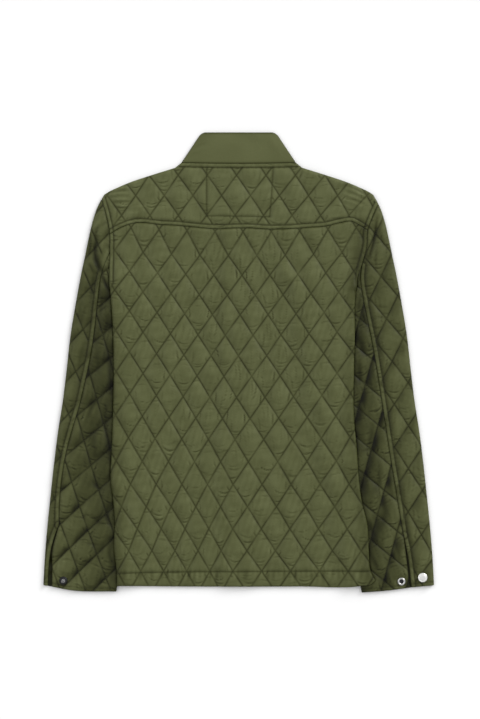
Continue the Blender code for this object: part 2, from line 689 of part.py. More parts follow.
def build_top_sleeve(name, side):
    """The strip outside the elbow seam, on round the outer fold, and the lower layer to the inner fold."""
    armhole, elbow, vent, cuff = (table[side] for table in (ARMHOLE, ELBOW, VENT_STRIP, CUFF))
    quilting = sleeve_quilting(TOP_ANCHOR[side], TOP_TILT[side])
    corner = (side * SLEEVE_FOLD[-1][1], SLEEVE_FOLD[-1][0])
    tip_y = armhole[0][1] - TIP_DROP
    tip = (side * fold_x(tip_y), tip_y)
    above_elbow = list(armhole[1:ELBOW_CORNER + 1])
    upper = subdivide([tip] + above_elbow + list(elbow[1:]) + list(vent[1:]) + [corner])
    top, bottom = inseam(side)
    lower = subdivide([corner] + list(cuff[1:-1]) + [bottom, top] + list(reversed(armhole[1:])) + [tip])

    def flat(point, layer):
        inward = fold_x(point[1]) - side * point[0]
        return layer * unroll(inward), point[1]

    def lie(u, v, radius, level):
        if abs(u) <= FOLD_ARC:
            turn = u / FOLD_RADIUS
            inward = FOLD_RADIUS - radius * math.cos(turn)
            z = FOLD_RADIUS + radius * math.sin(turn)
        else:
            inward = FOLD_RADIUS + abs(u) - FOLD_ARC
            z = level[0] if u > 0 else level[1]
        return side * (fold_x(v) - inward), v, z

    fold = [(side * x, y) for y, x in SLEEVE_FOLD]
    crease = SLEEVE_CREASE[side]
    seams = ([armhole[0]] + above_elbow, list(elbow), list(vent))

    def outer(u, v):
        x, y, z = lie(u, v, FOLD_RADIUS, (UPPER_LAYER + WALL, 0.0))
        if u > FOLD_ARC:
            rings = [CAP_PLACE[side]] if side == RIGHT else []
            z += relief((x, y), quilting, seams[1:], (seams[0], fold, cuff), rings)
            z += CREASE_RISE * math.exp(-(distance((x, y), crease) / CREASE_WIDTH) ** 2) * clamp(
                distance((x, y), seams[0]) / VALLEY)
        if u < -FOLD_ARC and side == LEFT:
            past_rim = RECESS_RADIUS + RECESS_SLOPE - math.dist((x, y), CAP_PLACE[side])
            z = RECESS_DEPTH * clamp(past_rim / RECESS_SLOPE)
        return x, y, z

    def inner(u, v):
        return lie(u, v, FOLD_CORE, (UPPER_LAYER, WALL))

    sewn = list(elbow) + list(vent[1:])
    band = shifted(sewn, side * BAND)
    crest = shifted(sewn, side * BAND / 2)
    region = band + list(reversed(fold)) + above_elbow
    stitch, tops = quilting.lines(counter_clockwise(region), [crease])
    heights = subdivide([(0, y) for y, _ in SLEEVE_FOLD[:-1]] + [(0, CUFF_FOOT)])
    turns = [[(part * FOLD_ARC / 2, y) for _, y in heights] for part in (-2, -1, 0, 1, 2)]
    lines = [[flat(p, 1) for p in line] for line in stitch + [band, crest, subdivide(crease, SHORT_STEP)]]
    if side == RIGHT:
        lines.append([flat(p, 1) for p in ring(CAP_PLACE[side], SNAP_RING, RING_SIDES)])
    else:
        for radius in (RECESS_RADIUS, RECESS_RADIUS + RECESS_SLOPE):
            lines.append([flat(p, -1) for p in ring(CAP_PLACE[side], radius, RECESS_SIDES)])
    outline = [flat(p, 1) for p in upper[:-1]] + [flat(p, -1) for p in lower[:-1]]
    cloth(name, outline, outer, inner, OLIVE, lines + turns, [flat(p, 1) for p in tops], turns)


def ring(centre, radius, count):
    """Closed ring of points round a snap."""
    angles = [2 * math.pi * k / count for k in range(count + 1)]
    return [(centre[0] + radius * math.cos(t), centre[1] + radius * math.sin(t)) for t in angles]


def build_under_sleeve(name, side):
    """The upper layer from the elbow seam to the inner fold, plain where it lies under the body."""
    armhole, elbow, vent, cuff = (table[side] for table in (ARMHOLE, ELBOW, VENT_UNDER, CUFF))
    edge = EDGE[LEFT] if side == LEFT else EDGE[RIGHT] + HEM[-2:-4:-1]
    quilting = sleeve_quilting(UNDER_ANCHOR[side], UNDER_TILT[side])
    top, _ = inseam(side)
    shown = list(elbow) + list(vent[1:]) + list(cuff[1:])
    low_armhole = list(reversed(armhole[ELBOW_CORNER + 1:]))
    outline = subdivide(closed(shown + [top] + low_armhole))[:-1]
    shadow = shifted(edge, side * EDGE_MARGIN)
    region = counter_clockwise(shown + list(reversed(shadow)) + low_armhole[1:])
    stitch, tops = quilting.lines(region)

    def outer(x, y):
        rise = 0.0
        if inside((x, y), region):
            rise = relief((x, y), quilting, (), (elbow, vent, cuff, shadow, armhole), [SOCKET_PLACE[side]])
        return x, y, UPPER_LAYER + WALL + rise

    def inner(x, y):
        return x, y, UPPER_LAYER

    lines = stitch + [subdivide(shadow), ring(SOCKET_PLACE[side], SNAP_RING, RING_SIDES)]
    cloth(name, outline, outer, inner, OLIVE, lines, tops)


# Snaps

def turned(name, profile, place, height, colour):
    """A turned piece: its profile of (radius, level) runs down its outer side and is swept round its axis."""
    mesh = bmesh.new()
    points = [mesh.verts.new((radius * MM, 0.0, level * MM)) for radius, level in profile]
    for start, end in zip(points, points[1:]):
        mesh.edges.new((start, end))
    made = add_object(name, mesh, colour, METAL_ROUGHNESS, 1.0)
    made.location = (place[0] * MM, place[1] * MM, height * MM)
    screw = made.modifiers.new("Turn", "SCREW")
    screw.steps = SNAP_SIDES
    screw.render_steps = SNAP_SIDES
    screw.use_merge_vertices = True
    screw.merge_threshold = 0.0001
    return made


def build_snaps():
    on_cloth = UPPER_LAYER + WALL + SEAM_GAP
    turned("snap_socket_left", SOCKET_PROFILE, SOCKET_PLACE[LEFT], on_cloth, DARK_METAL)
    turned("snap_socket_right", SOCKET_PROFILE, SOCKET_PLACE[RIGHT], on_cloth, SILVER)
    turned("snap_cap_right", CAP_PROFILE, CAP_PLACE[RIGHT], on_cloth, SILVER)
    turned("snap_cap_left", HIDDEN_CAP_PROFILE, CAP_PLACE[LEFT], 0.0, SILVER)


for old in list(bpy.data.objects):
    bpy.data.objects.remove(old, do_unlink=True)
parts = bpy.data.collections.new("quilted_jacket")
bpy.context.scene.collection.children.link(parts)
root = bpy.data.objects.new("jacket", None)
parts.objects.link(root)

build_back()
build_yoke()
build_collar()
for word, way in SIDES.items():
    build_front("front_" + word, way)
    build_top_sleeve("top_sleeve_" + word, way)
    build_under_sleeve("under_sleeve_" + word, way)
build_snaps()
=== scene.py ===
"""The looks of a quilted jacket laid flat on its front, its back up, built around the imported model.

Sizes are in millimetres up to the mesh: x runs to the right as the back is seen, y from the hem to the
collar, and z up from the floor. The left side is the wearer's left, at negative x. Every panel is a fine
closed shell of quilted cloth that stands for its plain solid, with its stitches as a piece of their own.
"""
import math

import bpy
import numpy as np
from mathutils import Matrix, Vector
from mathutils.geometry import delaunay_2d_cdt


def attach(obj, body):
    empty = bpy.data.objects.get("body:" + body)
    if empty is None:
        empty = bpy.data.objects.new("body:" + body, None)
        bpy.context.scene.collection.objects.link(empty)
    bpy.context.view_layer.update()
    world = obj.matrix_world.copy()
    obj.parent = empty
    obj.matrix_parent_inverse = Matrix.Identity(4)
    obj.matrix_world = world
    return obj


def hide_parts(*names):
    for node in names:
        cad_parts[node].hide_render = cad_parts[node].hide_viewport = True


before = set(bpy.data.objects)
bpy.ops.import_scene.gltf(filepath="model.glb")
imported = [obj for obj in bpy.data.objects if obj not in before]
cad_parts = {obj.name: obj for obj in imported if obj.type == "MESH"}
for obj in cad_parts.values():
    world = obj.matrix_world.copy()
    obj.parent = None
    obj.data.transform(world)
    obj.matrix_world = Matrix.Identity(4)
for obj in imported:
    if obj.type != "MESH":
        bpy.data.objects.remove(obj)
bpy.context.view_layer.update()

MM = 0.001
LEFT = -1
RIGHT = 1
SIDES = {"left": LEFT, "right": RIGHT}
BOTH = (LEFT, RIGHT)

# Cloth and its layers, as in the solids
WALL = 1.8
LAYER_GAP = 0.8
SEAM_GAP = 0.1
UPPER_LAYER = WALL + LAYER_GAP
UPPER_TOP = UPPER_LAYER + WALL
SIDE_LIFT = 5.0
CENTRE_LIFT = 2.4
FOLD_RADIUS = UPPER_TOP / 2
FOLD_CORE = LAYER_GAP / 2
FOLD_ARC = FOLD_RADIUS * math.pi / 2
UNROLLED = FOLD_ARC - FOLD_RADIUS
INSEAM_MARGIN = 3.0
SIDE_RAMP = 40.0
SIDE_LIFT_FULL = 125.0
SIDE_LIFT_NONE = 189.0
LAP_PLATEAU = 17.0
LAP_RAMP = 25.0
LAP_FULL = 270.0
LAP_NONE = 300.0

# Lines and meshes
LINE_STEP = 2.2
LINE_REACH = 15.0
FAR = 999.0
SAME_POINT = 0.2
MITRE_LIMIT = 1.2
EDGE_ROUND = 0.45
RIM_ROWS = 4
CLEARANCE = 1.1
LINING_STEP = 12.0
COLLAR_STEP = 3.0
SPREAD_ROW = 0.87
# Points down one side of a diamond, and how much closer they are near its lines
BODY_MESH = 21
SLEEVE_MESH = 18
FRONT_MESH = 14
LATTICE_GRADE = 0.4
# Part of a diamond between the points of a stitch line, and rounds of the search for a diamond
LINE_PART = 0.125
ROW_ROUNDS = 9

# Quilting and sewing
PUFF = 3.3
PUFF_ROUNDNESS = 0.6
PUFF_SPREAD = 0.22
LOWEST_PUFF = -1.2
LINE_PITCH = 39.0
VALLEY = 6.0
STITCH_FLOOR = 0.35
TURN_FLOOR = 0.15
ELBOW_CLEAR = 3
BAND = 6.7
BAND_RISE = 1.3
BAND_PARTS = (0.25, 0.5, 0.75, 1)
BAND_TAPER = {LEFT: 12.0, RIGHT: 45.0}
BAND_CRIMP = 0.35
CRIMP_LENGTH = 2.1
CRIMP_DRIFT = 11
CRIMP_SWELL = 5.3
SEAM_ROW = 1.5
# Points without stitches at the foot of each armhole's band
BAND_CUT = {LEFT: 6, RIGHT: 18}
SEAM_STITCH = 1.3
SEAM_DARK_WIDTH = 1.3
HEM_PUFF = 0.55
ROLL = 5.0
ROLL_PARTS = (0.36, 0.61, 0.86)
ROLL_DROP = 2.2
FRONT_INSET = 4.0
FRONT_INSET_RUN = 20.0
CUFF_STITCH = 6.0
BOW_REACH = 200.0
CHANNEL = 1.1
CHANNEL_WIDTH = 2.0
EDGE_VALLEY = 2.5
EDGE_REACH = 6.0
TIP_DROP = 0.8
TIP_BLUNT = 3.0
# Small and broad dents, as (size, length)
DENT = (0.12, 13.0)
BROAD_DENT = (0.2, 120.0)
DENT_CLEAR = 4
FRONT_DENT = 0.08
FRONT_DENT_LENGTH = 14
LEAST_LIFT = 0.3
STITCH_PITCH = 3.2
STITCH_HALF = 1.2
STITCH_WIDTH = 0.32
STITCH_RISE = 0.3
STITCH_ENDS_SUNK = 0.1
STITCH_SUNK = 0.2
STITCH_MARGIN = 2.0
SEAM_MARGIN = 1.0

# Outlines. Rows are (y, x) down the outer fold of a sleeve, the same on both sides
SLEEVE_FOLD = (
    (281, 226.2), (273, 230.8), (260, 237.5), (246, 242.5), (233, 246.3), (206, 252.5), (179, 258),
    (152, 263.8), (98, 273.8), (44.5, 282.6), (-9, 288.6), (-63, 295.1), (-117, 303.5), (-170, 310.2),
    (-224, 316), (-278, 321.5), (-332, 325.8), (-374, 328),
)
# Points are (x, y) from here on
SHOULDER = ((106.5, 327), (151, 313), (180, 303.3), (204, 293.3), (217, 287.2), (226, 281.5))
ARMHOLE = {
    LEFT: (
        (-230, 274), (-223.3, 250), (-216.8, 215.8), (-216.4, 200), (-216.5, 186), (-217.2, 142),
        (-217, 130), (-215.6, 121),
    ),
    RIGHT: (
        (234.5, 266.5), (224.9, 245), (216.8, 222), (215, 196), (206.3, 163), (199.6, 143), (198, 126),
        (196.5, 120),
    ),
}
# Points of an armhole, counted from the shoulder, where the yoke and the elbow seam start
YOKE_CORNER = 2
ELBOW_CORNER = 4
EDGE = {
    LEFT: (
        (-215.6, 121), (-213.6, 98), (-213, -147), (-215, -192), (-210.5, -233), (-207.8, -270),
        (-209.5, -305), (-204.8, -354), (-204.5, -375),
    ),
    RIGHT: (
        (196.5, 120), (195, 103), (195, 44.5), (193.7, -2.5), (193.7, -97), (198.2, -145), (201.3, -192),
        (207.1, -236), (215.5, -270), (218.4, -317), (221.6, -350), (229, -365.5),
    ),
}
HEM = ((-204.5, -375), (-100, -376), (0, -376.3), (100, -376), (205, -375), (222, -372), (229, -365.5))
HEM_STITCH = ((-240, -354.5), (-100, -351.5), (0, -350.8), (240, -349.8))
YOKE_SEAM = (
    (-216.8, 215.8), (-206.1, 222.1), (-179.3, 233.2), (-125.5, 231), (-98.6, 229.6), (-71.7, 226.8),
    (-44.9, 224.6), (8.9, 225.6), (62.7, 223.6), (116.4, 226.5), (143.3, 228.5), (170.2, 234.5),
    (190.3, 236.7), (200.4, 231.8), (209.5, 226.3), (216.8, 222),
)
YOKE_FRAME = (
    ((-53.3, 327.5), (-53.8, 300), (-53.4, 246.2)), ((-53.4, 246.2), (52.2, 244.6)),
    ((52.2, 244.6), (55.6, 290), (58, 327.5)),
)
ELBOW = {
    LEFT: (
        (-216.5, 186), (-223, 170), (-231, 146), (-236.9, 103.8), (-242.3, 54.6), (-248.6, 12.6),
        (-257.6, -29.4), (-267.4, -71.4), (-280, -113.4), (-290.8, -155.4), (-297.7, -197.4),
        (-301.4, -239.4), (-302, -273),
    ),
    RIGHT: (
        (206.3, 163), (204.6, 145), (205.4, 132), (209.5, 106), (219.9, 54.6), (228, 12.6), (234.9, -29.4),
        (241.4, -71.4), (247.8, -113.4), (254.2, -155.4), (261.2, -197.4), (268.1, -239.4), (276.9, -290),
    ),
}
VENT_STRIP = {
    LEFT: ((-302, -273), (-309.4, -292), (-315, -312.5), (-317.8, -330), (-319.5, -348), (-320.5, -374.9)),
    RIGHT: ((276.9, -290), (284.4, -328.4), (290.3, -377.7)),
}
VENT_UNDER = {
    LEFT: ((-302, -273), (-307.2, -292), (-312, -311), (-313.5, -326), (-313.2, -350), (-313.8, -376.3)),
    RIGHT: ((276.9, -290), (281.5, -328.4), (287.3, -378)),
}
CUFF = {
    LEFT: ((-313.8, -376.3), (-283.4, -382.2), (-205.5, -384.6)),
    RIGHT: ((287.3, -378), (250, -383), (206.6, -386.3)),
}
INSEAM_TOP = (106.5, 121)
NECK_HALF = 96.3
NECK_Y = 335.2
NECK_SAG = 1.4
FRONT_NECK_DROP = 72.0
LAP_HALF = 15.0
COLLAR_HEIGHT = 51.1
# Rows are (height above the neck seam, half width of the folded collar)
COLLAR_FOLD = ((0, 96.3), (20, 83), (40, 69.7), (46, 65.8), (49.5, 61.6), (51.1, 57.2))

# Diamonds. Rows are (y, x of the middle crossing, pitch to the left, pitch to the right, bow)
BACK_ROWS = (
    (254, 8, 47, 47.5, 8), (219.2, 7.2, 47, 47.5, 8), (179, 6.4, 47.7, 47.7, 8), (146.2, 5.5, 47.2, 46.8, 8),
    (112.6, 4.5, 47.2, 46.6, 8), (79.8, 2.2, 46.4, 47, 8), (45.4, 0.5, 46, 46.9, 8),
    (10.9, -0.7, 45.7, 47.7, 8), (-23.5, -2.2, 45.2, 47.7, 8), (-59, -3.7, 44.8, 47.7, 8),
    (-94.1, -4.9, 44.8, 47.9, 6), (-129.4, -6.2, 44.7, 48.2, 4), (-166.8, -8.5, 43.8, 49.2, 2),
    (-204.8, -9.5, 43, 48.6, 1), (-242.1, -9.8, 41.5, 48.8, 0), (-279.4, -10.2, 40, 48, 0),
    (-316, -10.2, 38.7, 47.8, 0), (-350.3, -9.9, 38.7, 48.4, 0), (-386, -9.9, 38.7, 48.4, 0),
)
YOKE_ROWS = (
    (348, -2.7, 49.5, 49.8, 0), (314.2, -3.7, 49, 49.5, 0), (280, -4.8, 48, 48.8, 0),
    (246.8, -6.2, 47.6, 47.8, 0), (213.2, -6.9, 48, 47.5, 0),
)
SLEEVE_PITCH = 47.0
SLEEVE_ROW = 36.0
SLEEVE_ROWS = 16
# A crossing on each sleeve panel, and rows of (y, tilt in degrees) of the quilting down it
TOP_ANCHOR = {LEFT: (-260.9, 55.6), RIGHT: (248, 73.2)}
TOP_TILT = {
    LEFT: ((-400, -8), (0, -10), (250, -10)),
    RIGHT: ((-300, -4), (-200, 0), (-40, 0), (20, 7.5), (250, 7.5)),
}
UNDER_ANCHOR = {LEFT: (-266.8, -241.9), RIGHT: (232.7, -256)}
UNDER_TILT = {
    LEFT: ((-380, -12), (-270, -13), (-190, -17), (-60, -18), (120, -15)),
    RIGHT: ((-380, 18), (120, 17)),
}

# Puckers of one diamond. Rows are (x, its spread, y, its spread, angle, half length, depth, family)
PUCKER_WIDTH = 1.1
PUCKER_BEND = 0.022
PUCKER_TURN = 0.22
PUCKER_CURL = 0.012
PUCKER_WIDTH_SPREAD = 0.3
PUCKER_RIM = 0.45
PUCKER_CLEAR = 1.2
PUCKER_MEAN = 0.5
PUCKER_CHANCE = 0.8
CHANCE_SIZE = 64
LEVEL = 0
UPRIGHT = 1
PUCKERS = (
    (0, 3, -26, 2, 0, 5, 0.8, LEVEL), (0, 4, -21, 2, 3, 7, 0.9, LEVEL), (1, 5, -15, 2.5, -4, 9, 0.8, LEVEL),
    (-2, 6, -8, 3.5, 4, 9, 0.4, LEVEL), (0, 4, 26, 2.5, 0, 5, 0.5, LEVEL), (0, 5, 19, 3, 0, 7, 0.4, LEVEL),
    (-15, 2, -5, 4, 70, 4.5, 0.6, LEVEL), (15, 2, -5, 4, -70, 4.5, 0.6, LEVEL),
    (14.5, 2, 1, 5, 88, 8, 0.9, UPRIGHT), (-14, 2, 2, 5, 93, 8, 0.8, UPRIGHT),
    (6, 3, 7, 6, 86, 13, 0.42, UPRIGHT), (-5, 3, -7, 6, 95, 12, 0.42, UPRIGHT),
    (0, 4, 12, 5, 91, 11, 0.35, UPRIGHT),
)
# Strength of (level, upright) puckers
BODY_PUCKERS = (0.8, 0.3)
SLEEVE_PUCKERS = (0.9, 0.5)
UNDER_PUCKERS = (1.2, 0.5)
# What the middle of the back has more of each, its place and width, and its ends as (height, fade)
MIDDLE_PUCKERS = (-0.35, 0.75)
UPRIGHT_PLACE = 15
UPRIGHT_WIDTH = 95
UPRIGHT_ENDS = ((-150, 60), (235, -40))

# Soft folds placed one by one. Rows are (x, y of each point of the line, then height, width, painted shade,
# whose values below zero paint light)
FOLD_STEP = 6.0
FOLD_FLOOR = 0.2
SHOULDER_FOLDS = (
    (-216, 289, -200, 293, -180, 294, 0.6, 1.4, -0.22), (-217, 285, -200, 288, -183, 289, -0.6, 1.4, 0.22),
    (-219, 281, -202, 284, -182, 284, 0.6, 1.4, -0.24), (-218, 277, -202, 279, -183, 279, -0.6, 1.4, 0.2),
    (-214, 273, -198, 274, -178, 273, 0.7, 1.5, -0.24), (-213, 269, -198, 269, -181, 270, -0.6, 1.4, 0.2),
    (-212, 264, -197, 264, -180, 264, 0.6, 1.5, -0.22), (-208, 259, -195, 259, -182, 258, -0.5, 1.5, 0.18),
    (-190, 252, -178, 251, -164, 252, 0.5, 1.8, -0.12), (-176, 262, -160, 262, -142, 260, 0.5, 1.8, -0.12),
    (181, 303, 195, 297, 208, 288, 0.6, 1.5, -0.2), (180, 298, 196, 291, 212, 282, -0.6, 1.4, 0.2),
    (178, 294, 196, 287, 213, 278, 0.7, 1.5, -0.24), (177, 289, 196, 282, 214, 273, -0.6, 1.4, 0.2),
    (174, 285, 194, 277, 215, 269, 0.6, 1.5, -0.22), (174, 280, 196, 272, 216, 264, -0.6, 1.4, 0.18),
    (170, 275, 190, 269, 213, 259, 0.5, 1.6, -0.18), (160, 268, 176, 264, 192, 258, 0.5, 1.8, -0.12),
)
SLEEVE_FOLDS = {
    LEFT: (
        (-233, 236, -232, 208, -228, 168, 2.6, 7.0, -0.2),
        (-236, 214, -240, 200, -241, 183, -236, 164, -228, 152, -2.0, 4.6, 0.62),
        (-242, 180, -238, 165, -227, 148, -1.0, 5.0, 0.5),
        (-249.5, 218, -249.5, 198, -252, 180, -1.0, 2.4, 0.62),
        (-246, 206, -244, 226, -232, 238, -222, 242, 0.8, 2.0, -0.15),
        (-242, 204, -239, 220, -228, 232, -220, 236, -0.7, 1.8, 0.35),
        (-252, 168, -246, 156, -240, 148, -0.8, 2.4, 0.4),
        (-247, 176, -243, 164, -238, 150, 0.6, 2.0, -0.15),
        (-243, 150, -246, 128, -250, 106, -0.7, 2.4, 0.3), (-262, 116, -266, 90, -272, 60, -0.6, 3.0, 0.2),
        (-253, 100, -262, 80, -266, 58, -0.6, 2.6, 0.25), (-258, 40, -266, 10, -270, -20, -0.8, 3.0, 0.25),
    ),
    RIGHT: (
        (231, 240, 237, 200.8, 230, 160, 2.0, 6.0, -0.05),
        (232, 248, 230, 225, 226.5, 203, 222, 187, 217.5, 171, -1.6, 2.8, 0.66),
        (239, 236, 236, 222, 233, 208, -0.8, 1.8, 0.3), (224, 206, 219, 190, 216, 178, 0.6, 2.0, -0.15),
        (231, 190, 230, 174, 230, 160, -0.7, 2.2, 0.35), (236, 222, 240, 205, 246, 190, -0.6, 2.2, 0.25),
        (219, 148, 224, 143, 229, 138, -0.6, 1.5, 0.3), (219, 143, 224, 138, 229, 133, -0.6, 1.5, 0.3),
        (218, 136, 222, 132, 229, 128, -0.5, 1.5, 0.3), (239, 150, 243, 143, 243, 134, -0.5, 1.8, 0.25),
        (222, 72, 236, 76, 248, 74, -0.5, 2.0, 0.25), (231, 48, 238, 20, 246, 0, -0.9, 3.0, 0.35),
        (228, 96, 238, 93, 250, 94, -0.5, 1.8, 0.25),
    ),
}
UNDER_FOLDS = {
    LEFT: (
        (-222, 100, -226, 40, -232, -20, 1.6, 9.0, 0.0), (-230, 150, -223, 131, -217, 119, -1.6, 3.0, 0.7),
        (-240, 134, -236, 110, -236, 84, 0.7, 2.6, -0.16), (-232, 122, -230, 100, -233, 76, -0.8, 2.4, 0.3),
        (-219, 84, -222, 62, -228, 44, -0.7, 3.0, 0.35), (-236, 84, -228, 90, -220, 96, -0.7, 1.8, 0.4),
        (-240, 50, -238, 10, -232, -30, -0.8, 4.0, 0.25), (-214, 10, -216, -20, -213, -52, -1.0, 4.0, 0.45),
        (-234, -60, -246, -74, -254, -96, -0.9, 3.4, 0.4),
        (-236, -100, -244, -130, -240, -168, -1.0, 6.0, 0.3),
        (-222, -60, -224, -100, -214, -150, -1.0, 4.0, 0.35),
        (-217, -150, -212, -170, -216, -190, -1.0, 3.0, 0.45),
        (-246, -196, -238, -208, -228, -216, -1.0, 4.0, 0.4),
        (-217, -236, -222, -256, -214, -278, -1.2, 4.0, 0.5),
        (-246, -256, -236, -268, -222, -272, -1.0, 3.4, 0.35),
        (-262, -300, -240, -306, -226, -304, -0.6, 2.2, 0.25),
        (-214, -300, -217, -320, -212, -340, -0.8, 3.0, 0.4),
        (-268, -262, -256, -256, -244, -256, -0.5, 1.8, 0.25),
        (-278, -332, -262, -336, -248, -334, -0.5, 2.0, 0.2),
    ),
    RIGHT: (
        (203, 116, 202, 98, 200, 84, -1.2, 3.4, 0.4), (206, 88, 210, 76, 216, 66, -0.8, 2.4, 0.45),
        (202, 62, 208, 50, 216, 44, 0.8, 3.0, -0.15), (204, 44, 207, 26, 213, 8, -1.2, 5.0, 0.5),
        (214, 36, 220, 30, 224, 20, -0.7, 2.0, 0.35), (199, 4, 204, -18, 200, -40, -1.1, 5.0, 0.45),
        (210, -30, 218, -36, 226, -38, -0.6, 2.0, 0.3), (199, -60, 203, -80, 204, -100, -1.2, 5.0, 0.5),
        (214, -90, 222, -96, 230, -108, 0.8, 3.0, -0.12), (224, -100, 222, -124, 218, -146, -1.0, 5.0, 0.4),
        (206, -150, 216, -146, 224, -150, -0.6, 2.0, 0.3), (206, -180, 206, -204, 214, -226, -1.3, 6.0, 0.5),
        (238, -170, 236, -196, 228, -222, -1.0, 5.0, 0.38),
        (216, -262, 222, -280, 232, -296, -1.0, 4.0, 0.4),
        (248, -236, 244, -262, 236, -286, -0.9, 5.0, 0.35),
        (222, -318, 228, -336, 238, -352, -1.0, 4.0, 0.4),
        (262, -300, 268, -316, 270, -334, -0.6, 3.0, 0.25),
    ),
}
COLLAR_FOLDS = (
    (-92, 12, -82, 18, -70, 22, 0.7, 2.6, 0.04), (-90, 24, -80, 30, -66, 32, -0.5, 2.4, 0.07),
    (-40, 46, 10, 30, 60, 24, 0.5, 9.0, -0.02),
)

# Snaps. Rows of a profile are (radius, level, material: 0 the ring, 1 the middle)
SNAP_RING = 9.6
SOCKET_PLACE = {LEFT: (-294.3, -366.1), RIGHT: (273.2, -367.5)}
CAP_PLACE = {LEFT: (-308.8, -360), RIGHT: (308.8, -361)}
RECESS_RADIUS = 8.4
RECESS_DEPTH = 1.1
RECESS_SLOPE = 0.8
SNAP_SIDES = 48
SOCKET_PROFILE = (
    (0, 1.7, 1), (1.0, 1.65, 1), (1.5, 1.3, 1), (1.7, 0.7, 1), (2.4, 0.6, 1), (3.2, 0.65, 0), (3.5, 1.4, 0),
    (3.9, 2.0, 0), (4.5, 2.3, 0), (5.2, 2.35, 0), (5.9, 2.2, 0), (6.3, 1.7, 0), (6.5, 1.2, 0), (6.9, 0.9, 0),
    (7.0, 0.4, 0), (6.8, 0, 0), (0, 0, 0),
)
CAP_PROFILE = (
    (0, 2.3, 0), (3.0, 2.3, 0), (5.2, 2.24, 0), (5.6, 2.05, 0), (5.9, 2.05, 0), (6.3, 2.25, 0), (6.9, 2.2, 0),
    (7.4, 1.95, 0), (7.8, 1.5, 0), (8.0, 0.9, 0), (7.9, 0.3, 0), (7.7, 0, 0), (0, 0, 0),
)

# Colours, linear, and tones of the cloth, some of them painted shade and light
OLIVE = (0.0755, 0.0825, 0.0322, 1.0)
OLIVE_COLLAR = (0.083, 0.0905, 0.0358, 1.0)
THREAD = (0.046, 0.050, 0.018, 1.0)
# The inside of the cloth, nearly black: painted shade in gaps, slits and the vents, and at the turn of each
# rim
INSIDE_PAINTED_SHADE = 0.16
BENEATH_TONE = 0.85
YOKE_TONE = 1.06
# Painted light on the bulge by the armhole, in place of the painted shade round it
BULGE_PAINTED_LIGHT = 0.9

# Rows are (height, tone)
HEM_TONE = ((-376, 0.94), (-330, 0.96), (-60, 1.0))
# Painted light on the under sleeves by height: lighter towards the left cuff and near the left armhole
UNDER_PAINTED_LIGHT = {
    LEFT: ((-376, 1.25), (-280, 1.12), (-200, 1.0), (120, 0.95), (150, 1.9), (200, 1.9)),
    RIGHT: ((-376, 1.0), (200, 1.0)),
}
# Painted shade on each sleeve's strip round its outer fold, by height
STRIP_SHADE = {
    LEFT: ((-376, 0.84), (-150, 0.84), (0, 0.70), (120, 0.62), (190, 0.74), (270, 0.90)),
    RIGHT: ((-376, 0.82), (0, 0.80), (120, 0.72), (190, 0.74), (260, 0.90)),
}
# Rows are (distance from the body's edge, tone): painted shade on the under sleeves, darkest by the body's
# edge
UNDER_SHADE = {
    LEFT: ((0, 0.42), (10, 0.40), (40, 0.47), (80, 0.65)),
    RIGHT: ((0, 0.43), (12, 0.42), (34, 0.50), (64, 0.68)),
}
# Rows are (height, how much painted shade darkens the body where it turns down at its side edge)
EDGE_PAINTED_SHADE = ((-376, 0.42), (-300, 0.38), (-100, 0.27), (100, 0.2))

# Darkness and width of the painted shade and light on the cloth, and the size and place of its soft forms
EDGE_SHADE_WIDTH = 16.0
# Painted shade on the under sleeves in patchy hollows beside the body's edge
POCKET_SHADE_DARK = 0.5
POCKET_SHADE_MEAN = 0.3
POCKET_SHADE_WIDTH = 9.0
# Painted shade on the back beside the right armhole, along this line
ARMHOLE_SHADE = ((209, 226), (204, 190), (198, 150), (196, 124))
ARMHOLE_SHADE_DARK = 0.42
ARMHOLE_SHADE_WIDTH = 13.0
HEM_PUCKER_PLACE = -357.0
HEM_PUCKER_WIDTH = 9.0
# Painted shade on the flanks of the sleeves' diamonds turned away from the light, and painted light on the
# flanks opposite
FLANK_DARK = 0.42
FLANK_WIDTH = 9.0
FLANK_LIGHT = 0.1
FLANK_MEAN = 0.85
FLANK_MOST = 1.4
FLANK_START = 0.45
FLANK_GROWTH = 0.8
STRIP_FLANK = 0.55
UNDER_FLANK = {LEFT: 1.1, RIGHT: 1.6}
# Painted shade on the sleeve's strip just past the elbow seam's band
BESIDE_SEAM_SHADE = 0.32
BESIDE_SEAM_SHADE_WIDTH = 8.0
BULGE = 2.4
BULGE_WIDTH = 10.0
BULGE_FOOT = {LEFT: 150.0, RIGHT: 300.0}
BULGE_RUN = 16.0
COLLAR_SWELL = 0.9
COLLAR_TURN = 20
COLLAR_EDGE_SHADE = 0.6
COLLAR_EDGE_SHADE_WIDTH = 2.2
# Painted shade in the quilting lines and a painted highlight on the rim beside them
LINE_DARK = 0.6
LINE_WIDTH = 1.15
LINE_SOFT_DARK = 0.13
LINE_SOFT_WIDTH = 5.5
LINE_RIM_LIGHT = 0.06
LINE_RIM = 3.4
LINE_RIM_WIDTH = 1.2
# Painted shade in seam lines, stitched lines and the outer line of each band
SEAM_DARK = 0.15
SEAM_STITCH_DARK = 0.5
BAND_DARK = 0.7
# Painted shade in pucker hollows and painted light on their rims
PUCKER_DARK = 0.8
PUCKER_LIGHT = 0.5
PUCKER_TONES = (0.45, 1.2)
# How much fainter the painted shade of quilting lines is in places, and how far it shows in a band
LINES_FAINT = 0.35
LINES_IN_BAND = 0.25
# How strongly the painted shade and light of the folds shows
FOLD_STRENGTH = 1.3
SLEEVE_LINES = 1.15
TONE_FADE = 40.0

